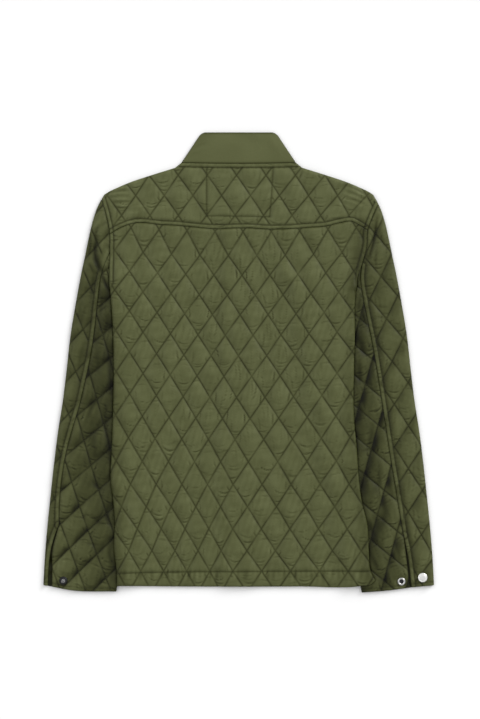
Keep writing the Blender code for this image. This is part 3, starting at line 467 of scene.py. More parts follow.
# Uneven tone of the cloth and of its painted shade and light, waves of the collar and puckers of the hem, as
# (size, length)
CLOUD_BROAD = (0.055, 32)
CLOUD_FINE = (0.045, 11)
FLANK_MOTTLE = (0.7, 32)
POCKET_SHADE_MOTTLE = (0.6, 34)
COLLAR_MOTTLE = (0.05, 70)
COLLAR_WAVE = (0.3, 45)
HEM_PUCKER = (0.25, 7)

# Contrast of the painted shade and light on the cloth
CONTRAST_MIDDLE = 0.92
BODY_CONTRAST = 1.25
STRIP_CONTRAST = {LEFT: 1.15, RIGHT: 1.3}
UNDER_CONTRAST = {LEFT: 1.45, RIGHT: 1.6}

# Stage. Rows are (name, strength, softness in degrees, way to the light)
SUNS = (
    ("key", 0.85, 50.0, (0.62, 0.5, 0.72)),
    ("fill", 0.85, 50.0, (-0.7, 0.35, 0.7)),
    ("low", 2.0, 24.0, (0.85, 0.85, 0.45)),
)
WORLD_LIGHT = 0.66
FLOOR_HALF = 14.0
CAMERA_PLACE = (0.0022, 0.005, 4.0)
CAMERA_LENS = 119.2
CAMERA_REACH = 100.0


# Plane geometry

def clamp(value):
    return np.clip(value, 0.0, 1.0)


def soft(share):
    """From 0 to 1 with soft ends."""
    share = clamp(share)
    return share * share * (3 - 2 * share)


def bell(gap, width):
    """1 at no gap, and softly nothing beyond two widths."""
    return np.exp(-(gap / width) ** 2)


def read(table, key):
    """Value beside each key in rows of (key, value): straight between rows, level past the ends."""
    rows = sorted(table)
    return np.interp(key, [row[0] for row in rows], [row[1] for row in rows])


def lengths(vectors):
    return np.linalg.norm(vectors, axis=1)


def left_of(steps):
    """The unit vector to the left of each step."""
    return np.column_stack([-steps[:, 1], steps[:, 0]]) / lengths(steps)[:, None]


def curve(points, step=LINE_STEP):
    """Points about a step apart on a smooth line through the given ones."""
    given = np.array(points, float)
    spans = lengths(np.diff(given, axis=0))
    marks = np.concatenate([[0.0], np.cumsum(spans)])
    if len(given) > 2:
        slopes = np.gradient(given, marks, axis=0)
    else:
        slopes = np.repeat(np.diff(given, axis=0) / spans, 2, 0)
    made = [given[:1]]
    for k, span in enumerate(spans):
        t = np.linspace(0, 1, max(1, math.ceil(span / step)) + 1)[1:, None]
        made.append((2 * t ** 3 - 3 * t ** 2 + 1) * given[k] + (t ** 3 - 2 * t ** 2 + t) * span * slopes[k]
                    + (3 * t ** 2 - 2 * t ** 3) * given[k + 1] + (t ** 3 - t ** 2) * span * slopes[k + 1])
    return np.vstack(made)


def between(line, start, end):
    """The stretch of a line from the point nearest to the start to the one nearest to the end."""
    first, last = (np.argmin(lengths(line - np.array(place))) for place in (start, end))
    return line[first:last + 1]


def armhole(side, start=0, end=-1):
    """An armhole between two of its points."""
    return between(curve(ARMHOLE[side]), ARMHOLE[side][start], ARMHOLE[side][end])


def mirrored(line, side):
    return np.array(line, float) * (side, 1)


def joined_line(*lines):
    """One open line through the lines, without doubled points."""
    points = np.vstack(lines)
    return points[np.concatenate([[True], lengths(np.diff(points, axis=0)) > SAME_POINT])]


def flat_area(outline):
    """Area of a closed outline, above zero where it runs counter-clockwise."""
    after = np.roll(outline, -1, axis=0)
    return np.sum(outline[:, 0] * after[:, 1] - after[:, 0] * outline[:, 1]) / 2


def joined(*lines):
    """One closed counter-clockwise outline through the lines, without doubled points."""
    points = np.vstack(lines)
    points = points[lengths(points - np.roll(points, 1, axis=0)) > SAME_POINT]
    return points if flat_area(points) > 0 else points[::-1]


def closed(outline):
    return np.vstack([outline, outline[:1]])


def inset(outline, margin):
    """The closed counter-clockwise outline moved inwards by a margin."""
    normals = left_of(np.roll(outline, -1, axis=0) - outline)
    both = normals + np.roll(normals, 1, axis=0)
    return outline + both * (2 * margin / np.maximum(MITRE_LIMIT, (both ** 2).sum(1)))[:, None]


def shifted(line, offset):
    """The open line moved to its left by an offset."""
    return line + left_of(np.gradient(line, axis=0)) * offset


def from_line(points, line, reach=LINE_REACH):
    """Distance of each point from a line within reach, and how far down the line its nearest spot is."""
    gap = np.full(len(points), FAR)
    along = np.zeros(len(points))
    near = np.where(((points > line.min(0) - reach) & (points < line.max(0) + reach)).all(1))[0]
    spots = points[near]
    done = 0.0
    for start, end in zip(line[:-1], line[1:]):
        step = end - start
        length = np.linalg.norm(step)
        share = clamp(((spots - start) @ step) / length ** 2)
        away = lengths(spots - start - share[:, None] * step)
        better = away < gap[near]
        gap[near[better]] = away[better]
        along[near[better]] = done + share[better] * length
        done += length
    return gap, along


def gap_to(points, line, reach=LINE_REACH):
    return from_line(points, line, reach)[0]


def inside(points, outline):
    """Whether each point is inside a closed outline."""
    found = np.zeros(len(points), bool)
    x, y = points.T
    for (x0, y0), (x1, y1) in zip(outline, np.roll(outline, -1, axis=0)):
        if y0 != y1:
            found ^= ((y0 > y) != (y1 > y)) & (x < x0 + (x1 - x0) * (y - y0) / (y1 - y0))
    return found


def waves(points, length, seed, count=7):
    """Smooth uneven heights from about -1 to 1 whose waves are about this long."""
    rng = np.random.default_rng(seed)
    turn = rng.uniform(0, math.pi, count)
    pace = 2 * math.pi / (length * rng.uniform(0.7, 1.5, count))
    phase = rng.uniform(0, 2 * math.pi, count)
    x, y = points.T
    total = np.zeros(len(points))
    for k in range(count):
        total += np.sin((x * math.cos(turn[k]) + y * math.sin(turn[k])) * pace[k] + phase[k])
    return total / math.sqrt(count)


def laid(points, level):
    """The flat points at their levels above the floor."""
    return np.column_stack([points, np.zeros(len(points)) + level])


# Quilting

class Quilting:
    """Diamonds between two families of stitch lines.

    A row of crossings is (x, y, pitch to the left, pitch to the right, tilt, bow). Diagonals a and b are
    whole numbers on the stitch lines, so a - b is the row's number and (a + b) / 2 the place along the row.
    """

    def __init__(self, rows, first_row, seed):
        self.rows = np.array(rows, float)
        self.first_row = first_row
        self.seed = seed

    def row(self, number):
        place = number - self.first_row
        low = np.clip(np.floor(place).astype(int), 0, len(self.rows) - 2)
        return (self.rows[low] + (self.rows[low + 1] - self.rows[low]) * (place - low)[:, None]).T

    def point(self, a, b):
        x, y, left, right, tilt, bow = self.row(a - b)
        place = (a + b) / 2
        across = place * np.where(place < 0, left, right)
        rise = bow * (across / BOW_REACH) ** 2
        return np.column_stack([x + across * np.cos(tilt) - rise * np.sin(tilt),
                                y + across * np.sin(tilt) + rise * np.cos(tilt)])

    def diagonals(self, points):
        x, y = points.T
        number = np.full(len(points), self.first_row + len(self.rows) / 2)
        for _ in range(ROW_ROUNDS):
            row_x, row_y, left, right, tilt, bow = self.row(number)
            across = (x - row_x) * np.cos(tilt) + (y - row_y) * np.sin(tilt)
            above = (y - row_y) * np.cos(tilt) - (x - row_x) * np.sin(tilt) - bow * (across / BOW_REACH) ** 2
            spacing = np.hypot(*(self.row(number - 0.5)[:2] - self.row(number + 0.5)[:2]))
            number = number - above / spacing
        place = across / np.where(across < 0, left, right)
        return place + number / 2, place - number / 2

    def reach(self, outline):
        a, b = self.diagonals(outline)
        return math.floor(a.min()), math.ceil(a.max()), math.floor(b.min()), math.ceil(b.max())

    def lattice(self, outline, count):
        """Points over an outline in rows beside the stitch lines, closer together near them."""
        a_low, a_high, b_low, b_high = self.reach(outline)
        part = np.arange(count) / count
        part = part - LATTICE_GRADE * np.sin(2 * math.pi * part) / (2 * math.pi)
        a, b = np.meshgrid((np.arange(a_low, a_high)[:, None] + part).ravel(),
                           (np.arange(b_low, b_high)[:, None] + part).ravel())
        points = self.point(a.ravel(), b.ravel())
        return points[((points > outline.min(0)) & (points < outline.max(0))).all(1)]

    def lines(self, outline):
        """The stitch lines over an outline."""
        a_low, a_high, b_low, b_high = self.reach(outline)
        fine_a = np.arange(a_low, a_high + 0.01, LINE_PART)
        fine_b = np.arange(b_low, b_high + 0.01, LINE_PART)
        lines = [self.point(np.full(len(fine_b), float(a)), fine_b) for a in range(a_low, a_high + 1)]
        return lines + [self.point(fine_a, np.full(len(fine_a), float(b))) for b in range(b_low, b_high + 1)]

    def padding(self, points, puckers):
        """Height of the padding from 0 to about 1, its puckers, the distance from a stitch line, and how far
        across the diamond, from its upper left side and from its lower left one."""
        a, b = self.diagonals(points)
        p, q = a - np.floor(a), b - np.floor(b)
        rng = np.random.default_rng(self.seed)
        chance = rng.uniform(-1, 1, (CHANCE_SIZE, CHANCE_SIZE, len(PUCKERS) + 1, 5))
        own = chance[np.floor(a).astype(int) % CHANCE_SIZE, np.floor(b).astype(int) % CHANCE_SIZE]
        puff = np.abs(np.sin(math.pi * p) * np.sin(math.pi * q)) ** PUFF_ROUNDNESS
        puff = puff * (1 + PUFF_SPREAD * own[:, -1, 0])
        gap = LINE_PITCH * np.minimum(np.minimum(p, 1 - p), np.minimum(q, 1 - q))
        across = (p + q - 1) * SLEEVE_PITCH / 2
        up = (q - p) * SLEEVE_ROW
        folds = np.zeros(len(points))
        for k, (x, x_spread, y, y_spread, turn, half, depth, family) in enumerate(PUCKERS):
            angle = math.radians(turn) + PUCKER_TURN * own[:, k, 0]
            dx = across - x - x_spread * own[:, k, 1]
            dy = up - y - y_spread * own[:, k, 2]
            along = dx * np.cos(angle) + dy * np.sin(angle)
            bend = -math.copysign(PUCKER_BEND, y) if family == LEVEL else 0.0
            off = dy * np.cos(angle) - dx * np.sin(angle) - (bend + PUCKER_CURL * own[:, k, 3]) * along ** 2
            width = PUCKER_WIDTH * (1 + PUCKER_WIDTH_SPREAD * own[:, k, 4])
            strength = depth * clamp(PUCKER_MEAN + PUCKER_CHANCE * own[:, k, 3]) * puckers[family]
            shape = bell(off, width) - PUCKER_RIM * bell(np.abs(off) - 2 * width, width)
            folds -= strength * shape * np.exp(-(along / half) ** 4)
        return puff, folds * clamp(gap / PUCKER_CLEAR), gap, (p, q)


def sleeve_quilting(anchor, tilts, seed):
    """Quilting that follows a sleeve up and down from one of its crossings."""
    def row(x, y):
        return x, y, SLEEVE_PITCH, SLEEVE_PITCH, math.radians(read(tilts, y)), 0.0

    def walk(way):
        x, y = anchor
        rows = []
        for _ in range(SLEEVE_ROWS):
            tilt = math.radians(read(tilts, y))
            x += way * SLEEVE_ROW * math.sin(tilt)
            y -= way * SLEEVE_ROW * math.cos(tilt)
            rows.append(row(x, y))
        return rows

    return Quilting(walk(-1)[::-1] + [row(*anchor)] + walk(1), -SLEEVE_ROWS, seed)


BACK_QUILTING, YOKE_QUILTING = (
    Quilting([(x, y, left, right, 0, bow) for y, x, left, right, bow in rows], -1, seed)
    for rows, seed in ((BACK_ROWS, 11), (YOKE_ROWS, 12)))


# Relief and its shades

def cloud(points, seed):
    """Soft uneven brightness of crumpled cloth: painted shade and light of its crumples, uneven at random."""
    return 1 + ripples(points, CLOUD_BROAD, seed) + ripples(points * (1.6, 0.7), CLOUD_FINE, seed + 1)


def ripples(points, kind, seed):
    """Random soft waves of one kind, which is (size, length)."""
    size, length = kind
    return size * waves(points, length, seed)


def stronger(shade, power):
    """The same painted shade with more contrast about a light tone."""
    return CONTRAST_MIDDLE * (shade / CONTRAST_MIDDLE) ** power


def pressed(share):
    """How far the padding has risen again beside a stitch line."""
    return np.sin(math.pi / 2 * clamp(share)) ** 0.7


def sewn(points, rise, bands=(), stitched=(), edges=()):
    """The padding pressed down at seams, stitch lines and edges, with a ridge in each double-stitched band,
    the painted shade of their lines, and how far quilting lines show. A band is (line, length of its taper or
    0)."""
    shade = np.ones(len(points))
    shown = 1 - LINES_FAINT * clamp(waves(points, 30, 61))
    for number, (line, taper) in enumerate(bands):
        gap, along = from_line(points, line)
        left = clamp((lengths(np.diff(line, axis=0)).sum() - along) / taper) if taper else 1.0
        wide = np.maximum(BAND * left, 0.1)
        crimp = np.sin(along / CRIMP_LENGTH + 2 * np.sin(along / CRIMP_DRIFT + number))
        crimp = 1 + BAND_CRIMP * crimp * np.sin(along / CRIMP_SWELL)
        ridge = BAND_RISE * left * np.sin(math.pi * clamp(gap / wide)) ** 0.8 * crimp
        rise = np.where(gap < wide, ridge, rise * pressed((gap - wide) / VALLEY))
        outer_line_shade = BAND_DARK * left * bell(gap - wide, SEAM_DARK_WIDTH)
        shade *= 1 - SEAM_DARK * bell(gap, SEAM_DARK_WIDTH) - outer_line_shade
        shown = np.where(gap < wide, LINES_IN_BAND * shown, shown)
    for line in stitched:
        gap = gap_to(points, line)
        rise = rise * (STITCH_FLOOR + (1 - STITCH_FLOOR) * pressed(gap / VALLEY))
        shade *= 1 - SEAM_STITCH_DARK * bell(gap, SEAM_DARK_WIDTH)
    for line in edges:
        rise = rise * pressed(gap_to(points, line) / VALLEY)
    return rise, shade, shown


def stitch_shade(gap, shown=1.0):
    """Painted shade in a quilting line and softly beside it, and a painted highlight on the rim of the puff
    beside it, where it shows.
    """
    line = LINE_DARK * bell(gap, LINE_WIDTH) + LINE_SOFT_DARK * bell(gap, LINE_SOFT_WIDTH)
    return 1 - shown * (line - LINE_RIM_LIGHT * bell(gap - LINE_RIM, LINE_RIM_WIDTH))


def pucker_shade(folds):
    """Painted shade in the hollow of a pucker and painted light on its rim."""
    hollow, rim = np.minimum(folds, 0), np.maximum(folds, 0)
    return np.clip(1 + PUCKER_DARK * hollow + PUCKER_LIGHT * rim, *PUCKER_TONES)


def folded(points, table):
    """Height of the soft folds of a table, below zero in a trough, and their painted shade: darker in the
    hollow ones, lighter where the shade is below zero.

    Each tapers to nothing at both ends.
    """
    height = np.zeros(len(points))
    shade = np.ones(len(points))
    for *line, rise, width, dark in table:
        path = curve(np.reshape(line, (-1, 2)), FOLD_STEP)
        gap, along = from_line(points, path, 3 * width)
        down = along / lengths(np.diff(path, axis=0)).sum()
        profile = bell(gap, width) * np.sin(math.pi * clamp(down)) ** 0.6
        height += rise * profile
        shade *= np.maximum(1 - FOLD_STRENGTH * dark * profile, FOLD_FLOOR)
    return height, shade


def bulge(points, elbow, arm, side):
    """Share of the soft bulge beside the armhole, which hides the top of the elbow seam, with even painted
    light over the seam's painted shade.
    """
    near = np.exp(-(gap_to(points, elbow, 3 * BULGE_WIDTH) / BULGE_WIDTH) ** 4)
    share = soft((points[:, 1] - BULGE_FOOT[side]) / BULGE_RUN) * near
    return share * clamp(gap_to(points, arm) / VALLEY)


def flank_shade(points, share, side, strength):
    """Painted shade of the flank of each diamond that is turned away from the light, deepest towards the body
    on the left and away from it on the right, and painted light on the flank opposite."""
    across, along = share if side == LEFT else (1 - share[0], 1 - share[1])
    away = LINE_PITCH * (1 - across)
    uneven = np.clip(FLANK_MEAN + ripples(points, FLANK_MOTTLE, 50 + side), 0, FLANK_MOST)
    uneven = uneven * (FLANK_START + FLANK_GROWTH * along)
    return (1 - strength * FLANK_DARK * uneven * bell(away, FLANK_WIDTH)
            + strength * FLANK_LIGHT * bell(LINE_PITCH - away - FLANK_WIDTH, FLANK_WIDTH))


def beside_snap(points, place):
    """The padding pressed down round a snap."""
    return pressed((lengths(points - place) - SNAP_RING) / VALLEY)


# How the layers lie on each other

def past_inseam(points, side):
    """How far a point lies towards the middle from a sleeve's hidden inner fold."""
    x, y = points.T
    x0, y0 = side * INSEAM_TOP[0], INSEAM_TOP[1]
    x1, y1 = CUFF[side][-1]
    return side * ((x - x0) * (y1 - y0) - (y - y0) * (x1 - x0)) / math.hypot(x1 - x0, y1 - y0)


def side_lift(points):
    """Lift of the body over the sleeves beneath it."""
    down = clamp((SIDE_LIFT_NONE - points[:, 1]) / (SIDE_LIFT_NONE - SIDE_LIFT_FULL))
    across = [clamp(1 - (past_inseam(points, side) - INSEAM_MARGIN) / SIDE_RAMP) for side in BOTH]
    return SIDE_LIFT * soft(np.minimum(down, np.maximum(*across)))


def lap_lift(points):
    """Lift over the lapped fronts."""
    up = clamp((LAP_NONE - points[:, 1]) / (LAP_NONE - LAP_FULL))
    across = clamp((LAP_PLATEAU + LAP_RAMP - np.abs(points[:, 0])) / LAP_RAMP)
    return CENTRE_LIFT * soft(np.minimum(up, across))


# Shells of cloth

def fill(edge, points):
    """Triangles inside a closed edge through the points, the edge's own points first."""
    plane = np.vstack([edge, points])
    ring = list(range(len(edge)))
    _, _, faces, origins, _, _ = delaunay_2d_cdt([Vector(p) for p in plane], [], [ring], 1, 0.001)
    number = np.array([found[0] for found in origins])
    faces = number[np.array(faces)]
    used = np.unique(np.concatenate([ring, faces.ravel()]))
    place = np.zeros(len(plane), int)
    place[used] = np.arange(len(used))
    return plane[used], place[faces]


def spread(edge, step):
    """Points in rows over a closed edge."""
    low, high = edge.min(0), edge.max(0)
    made = []
    for k, y in enumerate(np.arange(low[1], high[1], step * SPREAD_ROW)):
        x = np.arange(low[0] + (k % 2) * step / 2, high[0], step)
        made.append(np.column_stack([x, np.full(len(x), y)]))
    return np.vstack(made)


def cleared(points, lines, clearance=CLEARANCE):
    """The points that keep clear of every line."""
    keep = np.ones(len(points), bool)
    for line in lines:
        keep &= gap_to(points, line, 4.0) > clearance
    return points[keep]


def shell(name, outline, outer, inner, points, rows, facing=1, inner_step=LINING_STEP):
    """A closed wall of cloth over a flat outline, with a rounded rim.

    outer and inner place flat points in space. outer also gives their tone, which holds the painted shade and
    light. rows are lines of points to keep, such as those beside a seam.
    """
    outline = inset(outline, SEAM_GAP / 2)
    edge = inset(outline, EDGE_ROUND)
    border = [closed(edge)]
    rows = [cleared(row[inside(row, edge)], border) for row in rows]
    points = cleared(points[inside(points, edge)], border + [row for row in rows if len(row) > 1])
    flat, faces = fill(edge, np.vstack([points, *rows]))
    under, under_faces = fill(edge, cleared(spread(edge, inner_step), border, inner_step / 3))
    top, tone = outer(flat)
    blocks, tones = [top], [tone]
    for k in range(1, RIM_ROWS):
        turn = math.pi * k / RIM_ROWS
        ring = inset(outline, EDGE_ROUND * (1 - math.sin(turn)))
        depth = (1 - math.cos(turn)) / 2
        ring_top, ring_tone = outer(ring)
        blocks.append(ring_top * (1 - depth) + inner(ring) * depth)
        # The rim turns towards the inside's painted shade, which darkens the edge of every piece
        tones.append(ring_tone * (1 - depth + INSIDE_PAINTED_SHADE * depth))
    blocks.append(inner(under))
    tones.append(np.full(len(under), INSIDE_PAINTED_SHADE))
    starts = np.concatenate([[0], np.cumsum([len(block) for block in blocks])])
    ring = np.arange(len(edge))
    after = np.roll(ring, -1)
    all_faces = faces.tolist() + (under_faces + starts[RIM_ROWS])[:, ::-1].tolist()
    for low, high in zip(starts[:RIM_ROWS], starts[1:]):
        all_faces += np.column_stack([ring + low, ring + high, after + high, after + low]).tolist()
    return add_object(name, np.vstack(blocks), [face[::facing] for face in all_faces], np.concatenate(tones))


def linked(name, data):
    made = bpy.data.objects.new(name, data)
    bpy.context.scene.collection.objects.link(made)
    return made


def add_object(name, points, faces, tone=None):
    """A smooth mesh object on the one body of the frame."""
    data = bpy.data.meshes.new(name)
    data.from_pydata((np.asarray(points) * MM).tolist(), [], faces)
    data.shade_smooth()
    if tone is not None:
        # The tone attribute holds the painted shade and light of the cloth
        data.attributes.new("tone", "FLOAT", "POINT").data.foreach_set("value", np.asarray(tone, np.float32))
    made = linked(name, data)
    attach(made, "root")
    return made


def resampled(line, step):
    """Points a step apart down a line, and the direction at each."""
    marks = np.concatenate([[0.0], np.cumsum(lengths(np.diff(line, axis=0)))])
    places = np.arange(step / 2, marks[-1], step)
    points, ahead, behind = (np.column_stack([np.interp(places + off, marks, line[:, k]) for k in range(2)])
                             for off in (0, 0.1, -0.1))
    return points, (ahead - behind) / lengths(ahead - behind)[:, None]


def stitches(name, outer, outline, lines, keep_off=(), margin=STITCH_MARGIN):
    """Sewing thread down the lines: each stitch a small spindle half sunk in the cloth."""
    points, ways = (np.vstack(parts) for parts in zip(*(
        resampled(line, STITCH_PITCH) for line in lines if len(line) > 1)))
    keep = inside(points, outline) & (gap_to(points, closed(outline), 4.0) > margin)
    for line, room in keep_off:
        keep &= gap_to(points, line, room + 2) > room
    points, ways = points[keep], ways[keep]
    middle, start, end, beside = (outer(points + off)[0] for off in (
        0 * ways, -ways * STITCH_HALF, ways * STITCH_HALF, left_of(ways) * 0.5))
    forward = (end - start) / lengths(end - start)[:, None]
    normal = np.cross(forward, beside - middle)
    normal /= lengths(normal)[:, None]
    across = np.cross(normal, forward)
    corners = np.stack([
        start - STITCH_ENDS_SUNK * normal, end - STITCH_ENDS_SUNK * normal,
        middle + STITCH_WIDTH * across, middle - STITCH_WIDTH * across,
        middle + STITCH_RISE * normal, middle - STITCH_SUNK * normal], axis=1).reshape(-1, 3)
    spindle = ((0, 3, 4), (3, 1, 4), (1, 2, 4), (2, 0, 4), (3, 0, 5), (1, 3, 5), (2, 1, 5), (0, 2, 5))
    faces = (np.arange(len(points))[:, None, None] * 6 + np.array(spindle)).reshape(-1, 3)
    made = add_object(name, corners, faces.tolist())
    made.data.materials.append(thread)
    return made


def dress(made, node, outline, material, rests_on=()):
    """The piece takes its node's place and its cloth."""
    made.data.materials.append(material)
    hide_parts(node)
    width, length = np.ptp(outline, axis=0) * MM
    list(rests_on)
    float(flat_area(outline)) * MM * MM


def panel(node, outline, outer, inner, quilting, mesh, rows, sewing, rests_on=(), facing=1):
    """A quilted piece and its stitches: rows of (ending of the name, lines, lines to keep off, margin)."""
    made = shell(f"{node}_cloth", outline, outer, inner, quilting.lattice(outline, mesh), rows, facing)
    threads = [stitches(f"{node}_{ending}", outer, outline, *rest) for ending, *rest in sewing]
    dress(made, node, outline, olive, rests_on)


# Materials

class Look:
    """A procedural material in the making."""

    def __init__(self, name, roughness, **constants):
        self.material = bpy.data.materials.new(name)
        self.material.use_nodes = True
        self.tree = self.material.node_tree
        self.shader = self.tree.nodes["Principled BSDF"]
        self.shader.inputs["Roughness"].default_value = roughness
        for key, value in constants.items():
            self.shader.inputs[key.replace("_", " ")].default_value = value
        self.place = self.add("ShaderNodeTexCoord", "Object")

    def add(self, kind, output, inputs=(), **settings):
        """An output of a new node, whose inputs are (name, value) or (name, other node's output)."""
        made = self.tree.nodes.new(kind)
        for key, value in settings.items():
            setattr(made, key, value)
        for key, value in inputs:
            if isinstance(value, bpy.types.NodeSocket):
                self.tree.links.new(value, made.inputs[key])
            else:
                made.inputs[key].default_value = value
        return made.outputs[output]

    def noise(self, scale, detail=2.0):
        inputs = [("Vector", self.place), ("Scale", scale), ("Detail", detail)]
        return self.add("ShaderNodeTexNoise", "Fac", inputs)

    def threads(self, way):
        inputs = [("Vector", self.place), ("Scale", 260.0)]
        return self.add("ShaderNodeTexWave", "Fac", inputs, bands_direction=way)

    def ranged(self, value, low, high):
        return self.add("ShaderNodeMapRange", "Result", [("Value", value), ("To Min", low), ("To Max", high)])

    def combined(self, operation, first, second):
        return self.add("ShaderNodeMath", 0, [(0, first), (1, second)], operation=operation)

    def link(self, output, key):
        self.tree.links.new(output, self.shader.inputs[key])

    def paint(self, colour, tint):
        """The colour, darker or lighter by the tint."""
        self.link(self.add("ShaderNodeMix", 2, [("Factor", 1.0), (6, colour), (7, tint)], data_type="RGBA",
                           blend_type="MULTIPLY"), "Base Color")

    def bump(self, *levels):
        """Fine relief in levels of (strength, distance, height)."""
        lower = []
        for strength, distance, height in levels:
            inputs = [("Strength", strength), ("Distance", distance), ("Height", height)] + lower
            lower = [("Normal", self.add("ShaderNodeBump", "Normal", inputs))]
        self.link(lower[0][1], "Normal")


def cloth_material(name, colour):
    """Smooth woven nylon: uneven colour, painted shade and light from its tone attribute, darkest in its
    stitch lines, with a fine weave and soft dents.
    """
    look = Look(name, 0.5, Specular_IOR_Level=0.12)
    # The tone attribute is mostly painted shade and painted light, with some random unevenness of colour
    tone = look.add("ShaderNodeAttribute", "Fac", attribute_name="tone")
    broad = look.ranged(look.noise(9.0, 3.0), 0.96, 1.04)
    fine = look.ranged(look.noise(420.0), 0.93, 1.07)
    whole = look.combined("MULTIPLY", look.combined("MULTIPLY", broad, fine), tone)
    # Deeper tone, painted shade included, is made more saturated
    blue = look.combined("POWER", whole, 1.3)
    look.paint(colour, look.add("ShaderNodeCombineColor", 0, [(0, whole), (1, whole), (2, blue)]))
    weave = look.combined("MULTIPLY", look.threads("X"), look.threads("Y"))
    look.bump((0.35, 0.0006, look.noise(150.0, 3.0)), (0.3, 0.00006, weave))
    return look.material


def thread_material(name, colour):
    """Twisted sewing thread."""
    look = Look(name, 0.6, Specular_IOR_Level=0.15)
    twist = look.noise(900.0)
    look.paint(colour, look.ranged(twist, 0.8, 1.2))
    look.bump((0.3, 0.0001, twist))
    return look.material


def metal_material(name, colour, roughness, metallic):
    """Satin metal with fine uneven wear."""
    look = Look(name, roughness, Metallic=metallic)
    wear = look.noise(600.0, 4.0)
    look.paint(colour, look.ranged(wear, 0.85, 1.1))
    look.link(look.ranged(wear, roughness * 0.8, roughness * 1.3), "Roughness")
    return look.material


def floor_material(name):
    """Plain pale paper."""
    look = Look(name, 0.9, Specular_IOR_Level=0.1)
    look.link(look.ranged(look.noise(40.0), 0.814, 0.824), "Base Color")
    return look.material


# Back, yoke and fronts

FRONTS = ("front_left_cloth", "front_right_cloth")


def neck_seam():
    """Lower edge of the collar on the back, from left to right."""
    x = np.linspace(-NECK_HALF, NECK_HALF, 90)
    return np.column_stack([x, NECK_Y - NECK_SAG * (1 - (x / NECK_HALF) ** 2)])


def round_collar(past, half=NECK_HALF):
    """How far inward from the collar's fold, and how far down, the neck seam has gone past the fold."""
    inward = np.where(past < FOLD_ARC, FOLD_RADIUS - FOLD_RADIUS * np.cos(past / FOLD_RADIUS),
                      FOLD_RADIUS + (past - FOLD_ARC) * (half - FOLD_RADIUS) / (NECK_HALF - FOLD_ARC))
    return inward, FRONT_NECK_DROP * np.sin(math.pi / 2 * clamp(past / NECK_HALF))


def front_neck(side):
    """Lower edge of the collar on the front, from the shoulder to the middle."""
    past = np.concatenate([np.linspace(0, FOLD_ARC, 4), np.linspace(FOLD_ARC, NECK_HALF, 50)[1:]])
    inward, drop = round_collar(past)
    return np.column_stack([side * (NECK_HALF - inward), NECK_Y - drop])


def in_band(line, way):
    """Rows of mesh points across a double-stitched band."""
    return [shifted(line, way * BAND * part) for part in BAND_PARTS]


def body_puckers(x, y):
    """Strength of level and of upright puckers: upright ones in the middle of the back."""
    middle = bell(x - UPRIGHT_PLACE, UPRIGHT_WIDTH)
    for end, fade in UPRIGHT_ENDS:
        middle = middle * clamp((y - end) / fade)
    return tuple(most + more * middle for most, more in zip(BODY_PUCKERS, MIDDLE_PUCKERS))


def body_outer(points, quilting, bands, stitched, edges):
    """Rise and painted shade and light of the quilted outside of the back or the yoke."""
    x, y = points.T
    puff, folds, gap, _ = quilting.padding(points, body_puckers(x, y))
    hem = bell(y - HEM_PUCKER_PLACE, HEM_PUCKER_WIDTH)
    folds = folds + ripples(points * (1, 0.1), HEM_PUCKER, 15) * hem
    rise, shade, shown = sewn(points, PUFF * puff + folds, bands, stitched, edges)
    rise = np.where(y < HEM_STITCH[1][1], rise * HEM_PUFF, rise)
    rise = rise + ripples(points, DENT, 3) * clamp(gap / DENT_CLEAR)
    rise = rise + ripples(points, BROAD_DENT, 4)
    # Painted shade beside the right armhole, in pucker hollows and of crumples, with painted light on pucker
    # rims
    armhole_shade = bell(gap_to(points, curve(ARMHOLE_SHADE), 3 * ARMHOLE_SHADE_WIDTH), ARMHOLE_SHADE_WIDTH)
    uneven = (1 - ARMHOLE_SHADE_DARK * armhole_shade) * cloud(points, 44) * pucker_shade(folds)
    shade = shade * stronger(uneven, BODY_CONTRAST)
    return rise, shade * stitch_shade(gap, shown) * read(HEM_TONE, y)


def rolled(points, edges):
    """How far the cloth has risen where it turns down at its side edges, and the painted shade there."""
    gap = np.minimum(*(gap_to(points, edge, 40.0) for edge in edges))
    risen = np.sqrt(1 - (1 - clamp(gap / ROLL)) ** 2)
    return risen, 1 - read(EDGE_PAINTED_SHADE, points[:, 1]) * bell(gap, EDGE_SHADE_WIDTH)


def build_back():
    left, right = (armhole(side, YOKE_CORNER) for side in BOTH)
    seam, hem, hem_stitch = curve(YOKE_SEAM), curve(HEM), curve(HEM_STITCH)
    edges = [curve(EDGE[side]) for side in BOTH]
    outline = joined(hem, edges[1][::-1], right[::-1], seam[::-1], left, edges[0])

    def outer(points):
        bands = ((left, BAND_TAPER[LEFT]), (right, BAND_TAPER[RIGHT]))
        rise, shade = body_outer(points, BACK_QUILTING, bands, (seam, hem_stitch), (hem,))
        risen, edge_shade = rolled(points, edges)
        level = side_lift(points) + lap_lift(points) + UPPER_TOP + (rise + ROLL_DROP) * risen - ROLL_DROP
        return laid(points, level), shade * edge_shade

    def inner(points):
        drop = ROLL_DROP * (1 - rolled(points, edges)[0])
        return laid(points, side_lift(points) + lap_lift(points) + UPPER_LAYER - drop)

    rows = in_band(left, 1) + in_band(right, -1) + [hem_stitch, shifted(seam, -SEAM_ROW)]
    rows += [shifted(edge, -side * ROLL * part) for side, edge in zip(BOTH, edges) for part in ROLL_PARTS]
    keep_off = [(left, BAND + 1), (right, BAND + 1), (seam, 2)]
    seams = [shifted(left, BAND)[:-BAND_CUT[LEFT]], shifted(right, -BAND)[:-BAND_CUT[RIGHT]], hem_stitch,
             shifted(left, SEAM_STITCH), shifted(right, -SEAM_STITCH)]
    sewing = [("quilting_stitches", BACK_QUILTING.lines(outline), keep_off),
              ("seam_stitches", seams, (), SEAM_MARGIN)]
    panel("back", outline, outer, inner, BACK_QUILTING, BODY_MESH, rows, sewing, FRONTS)


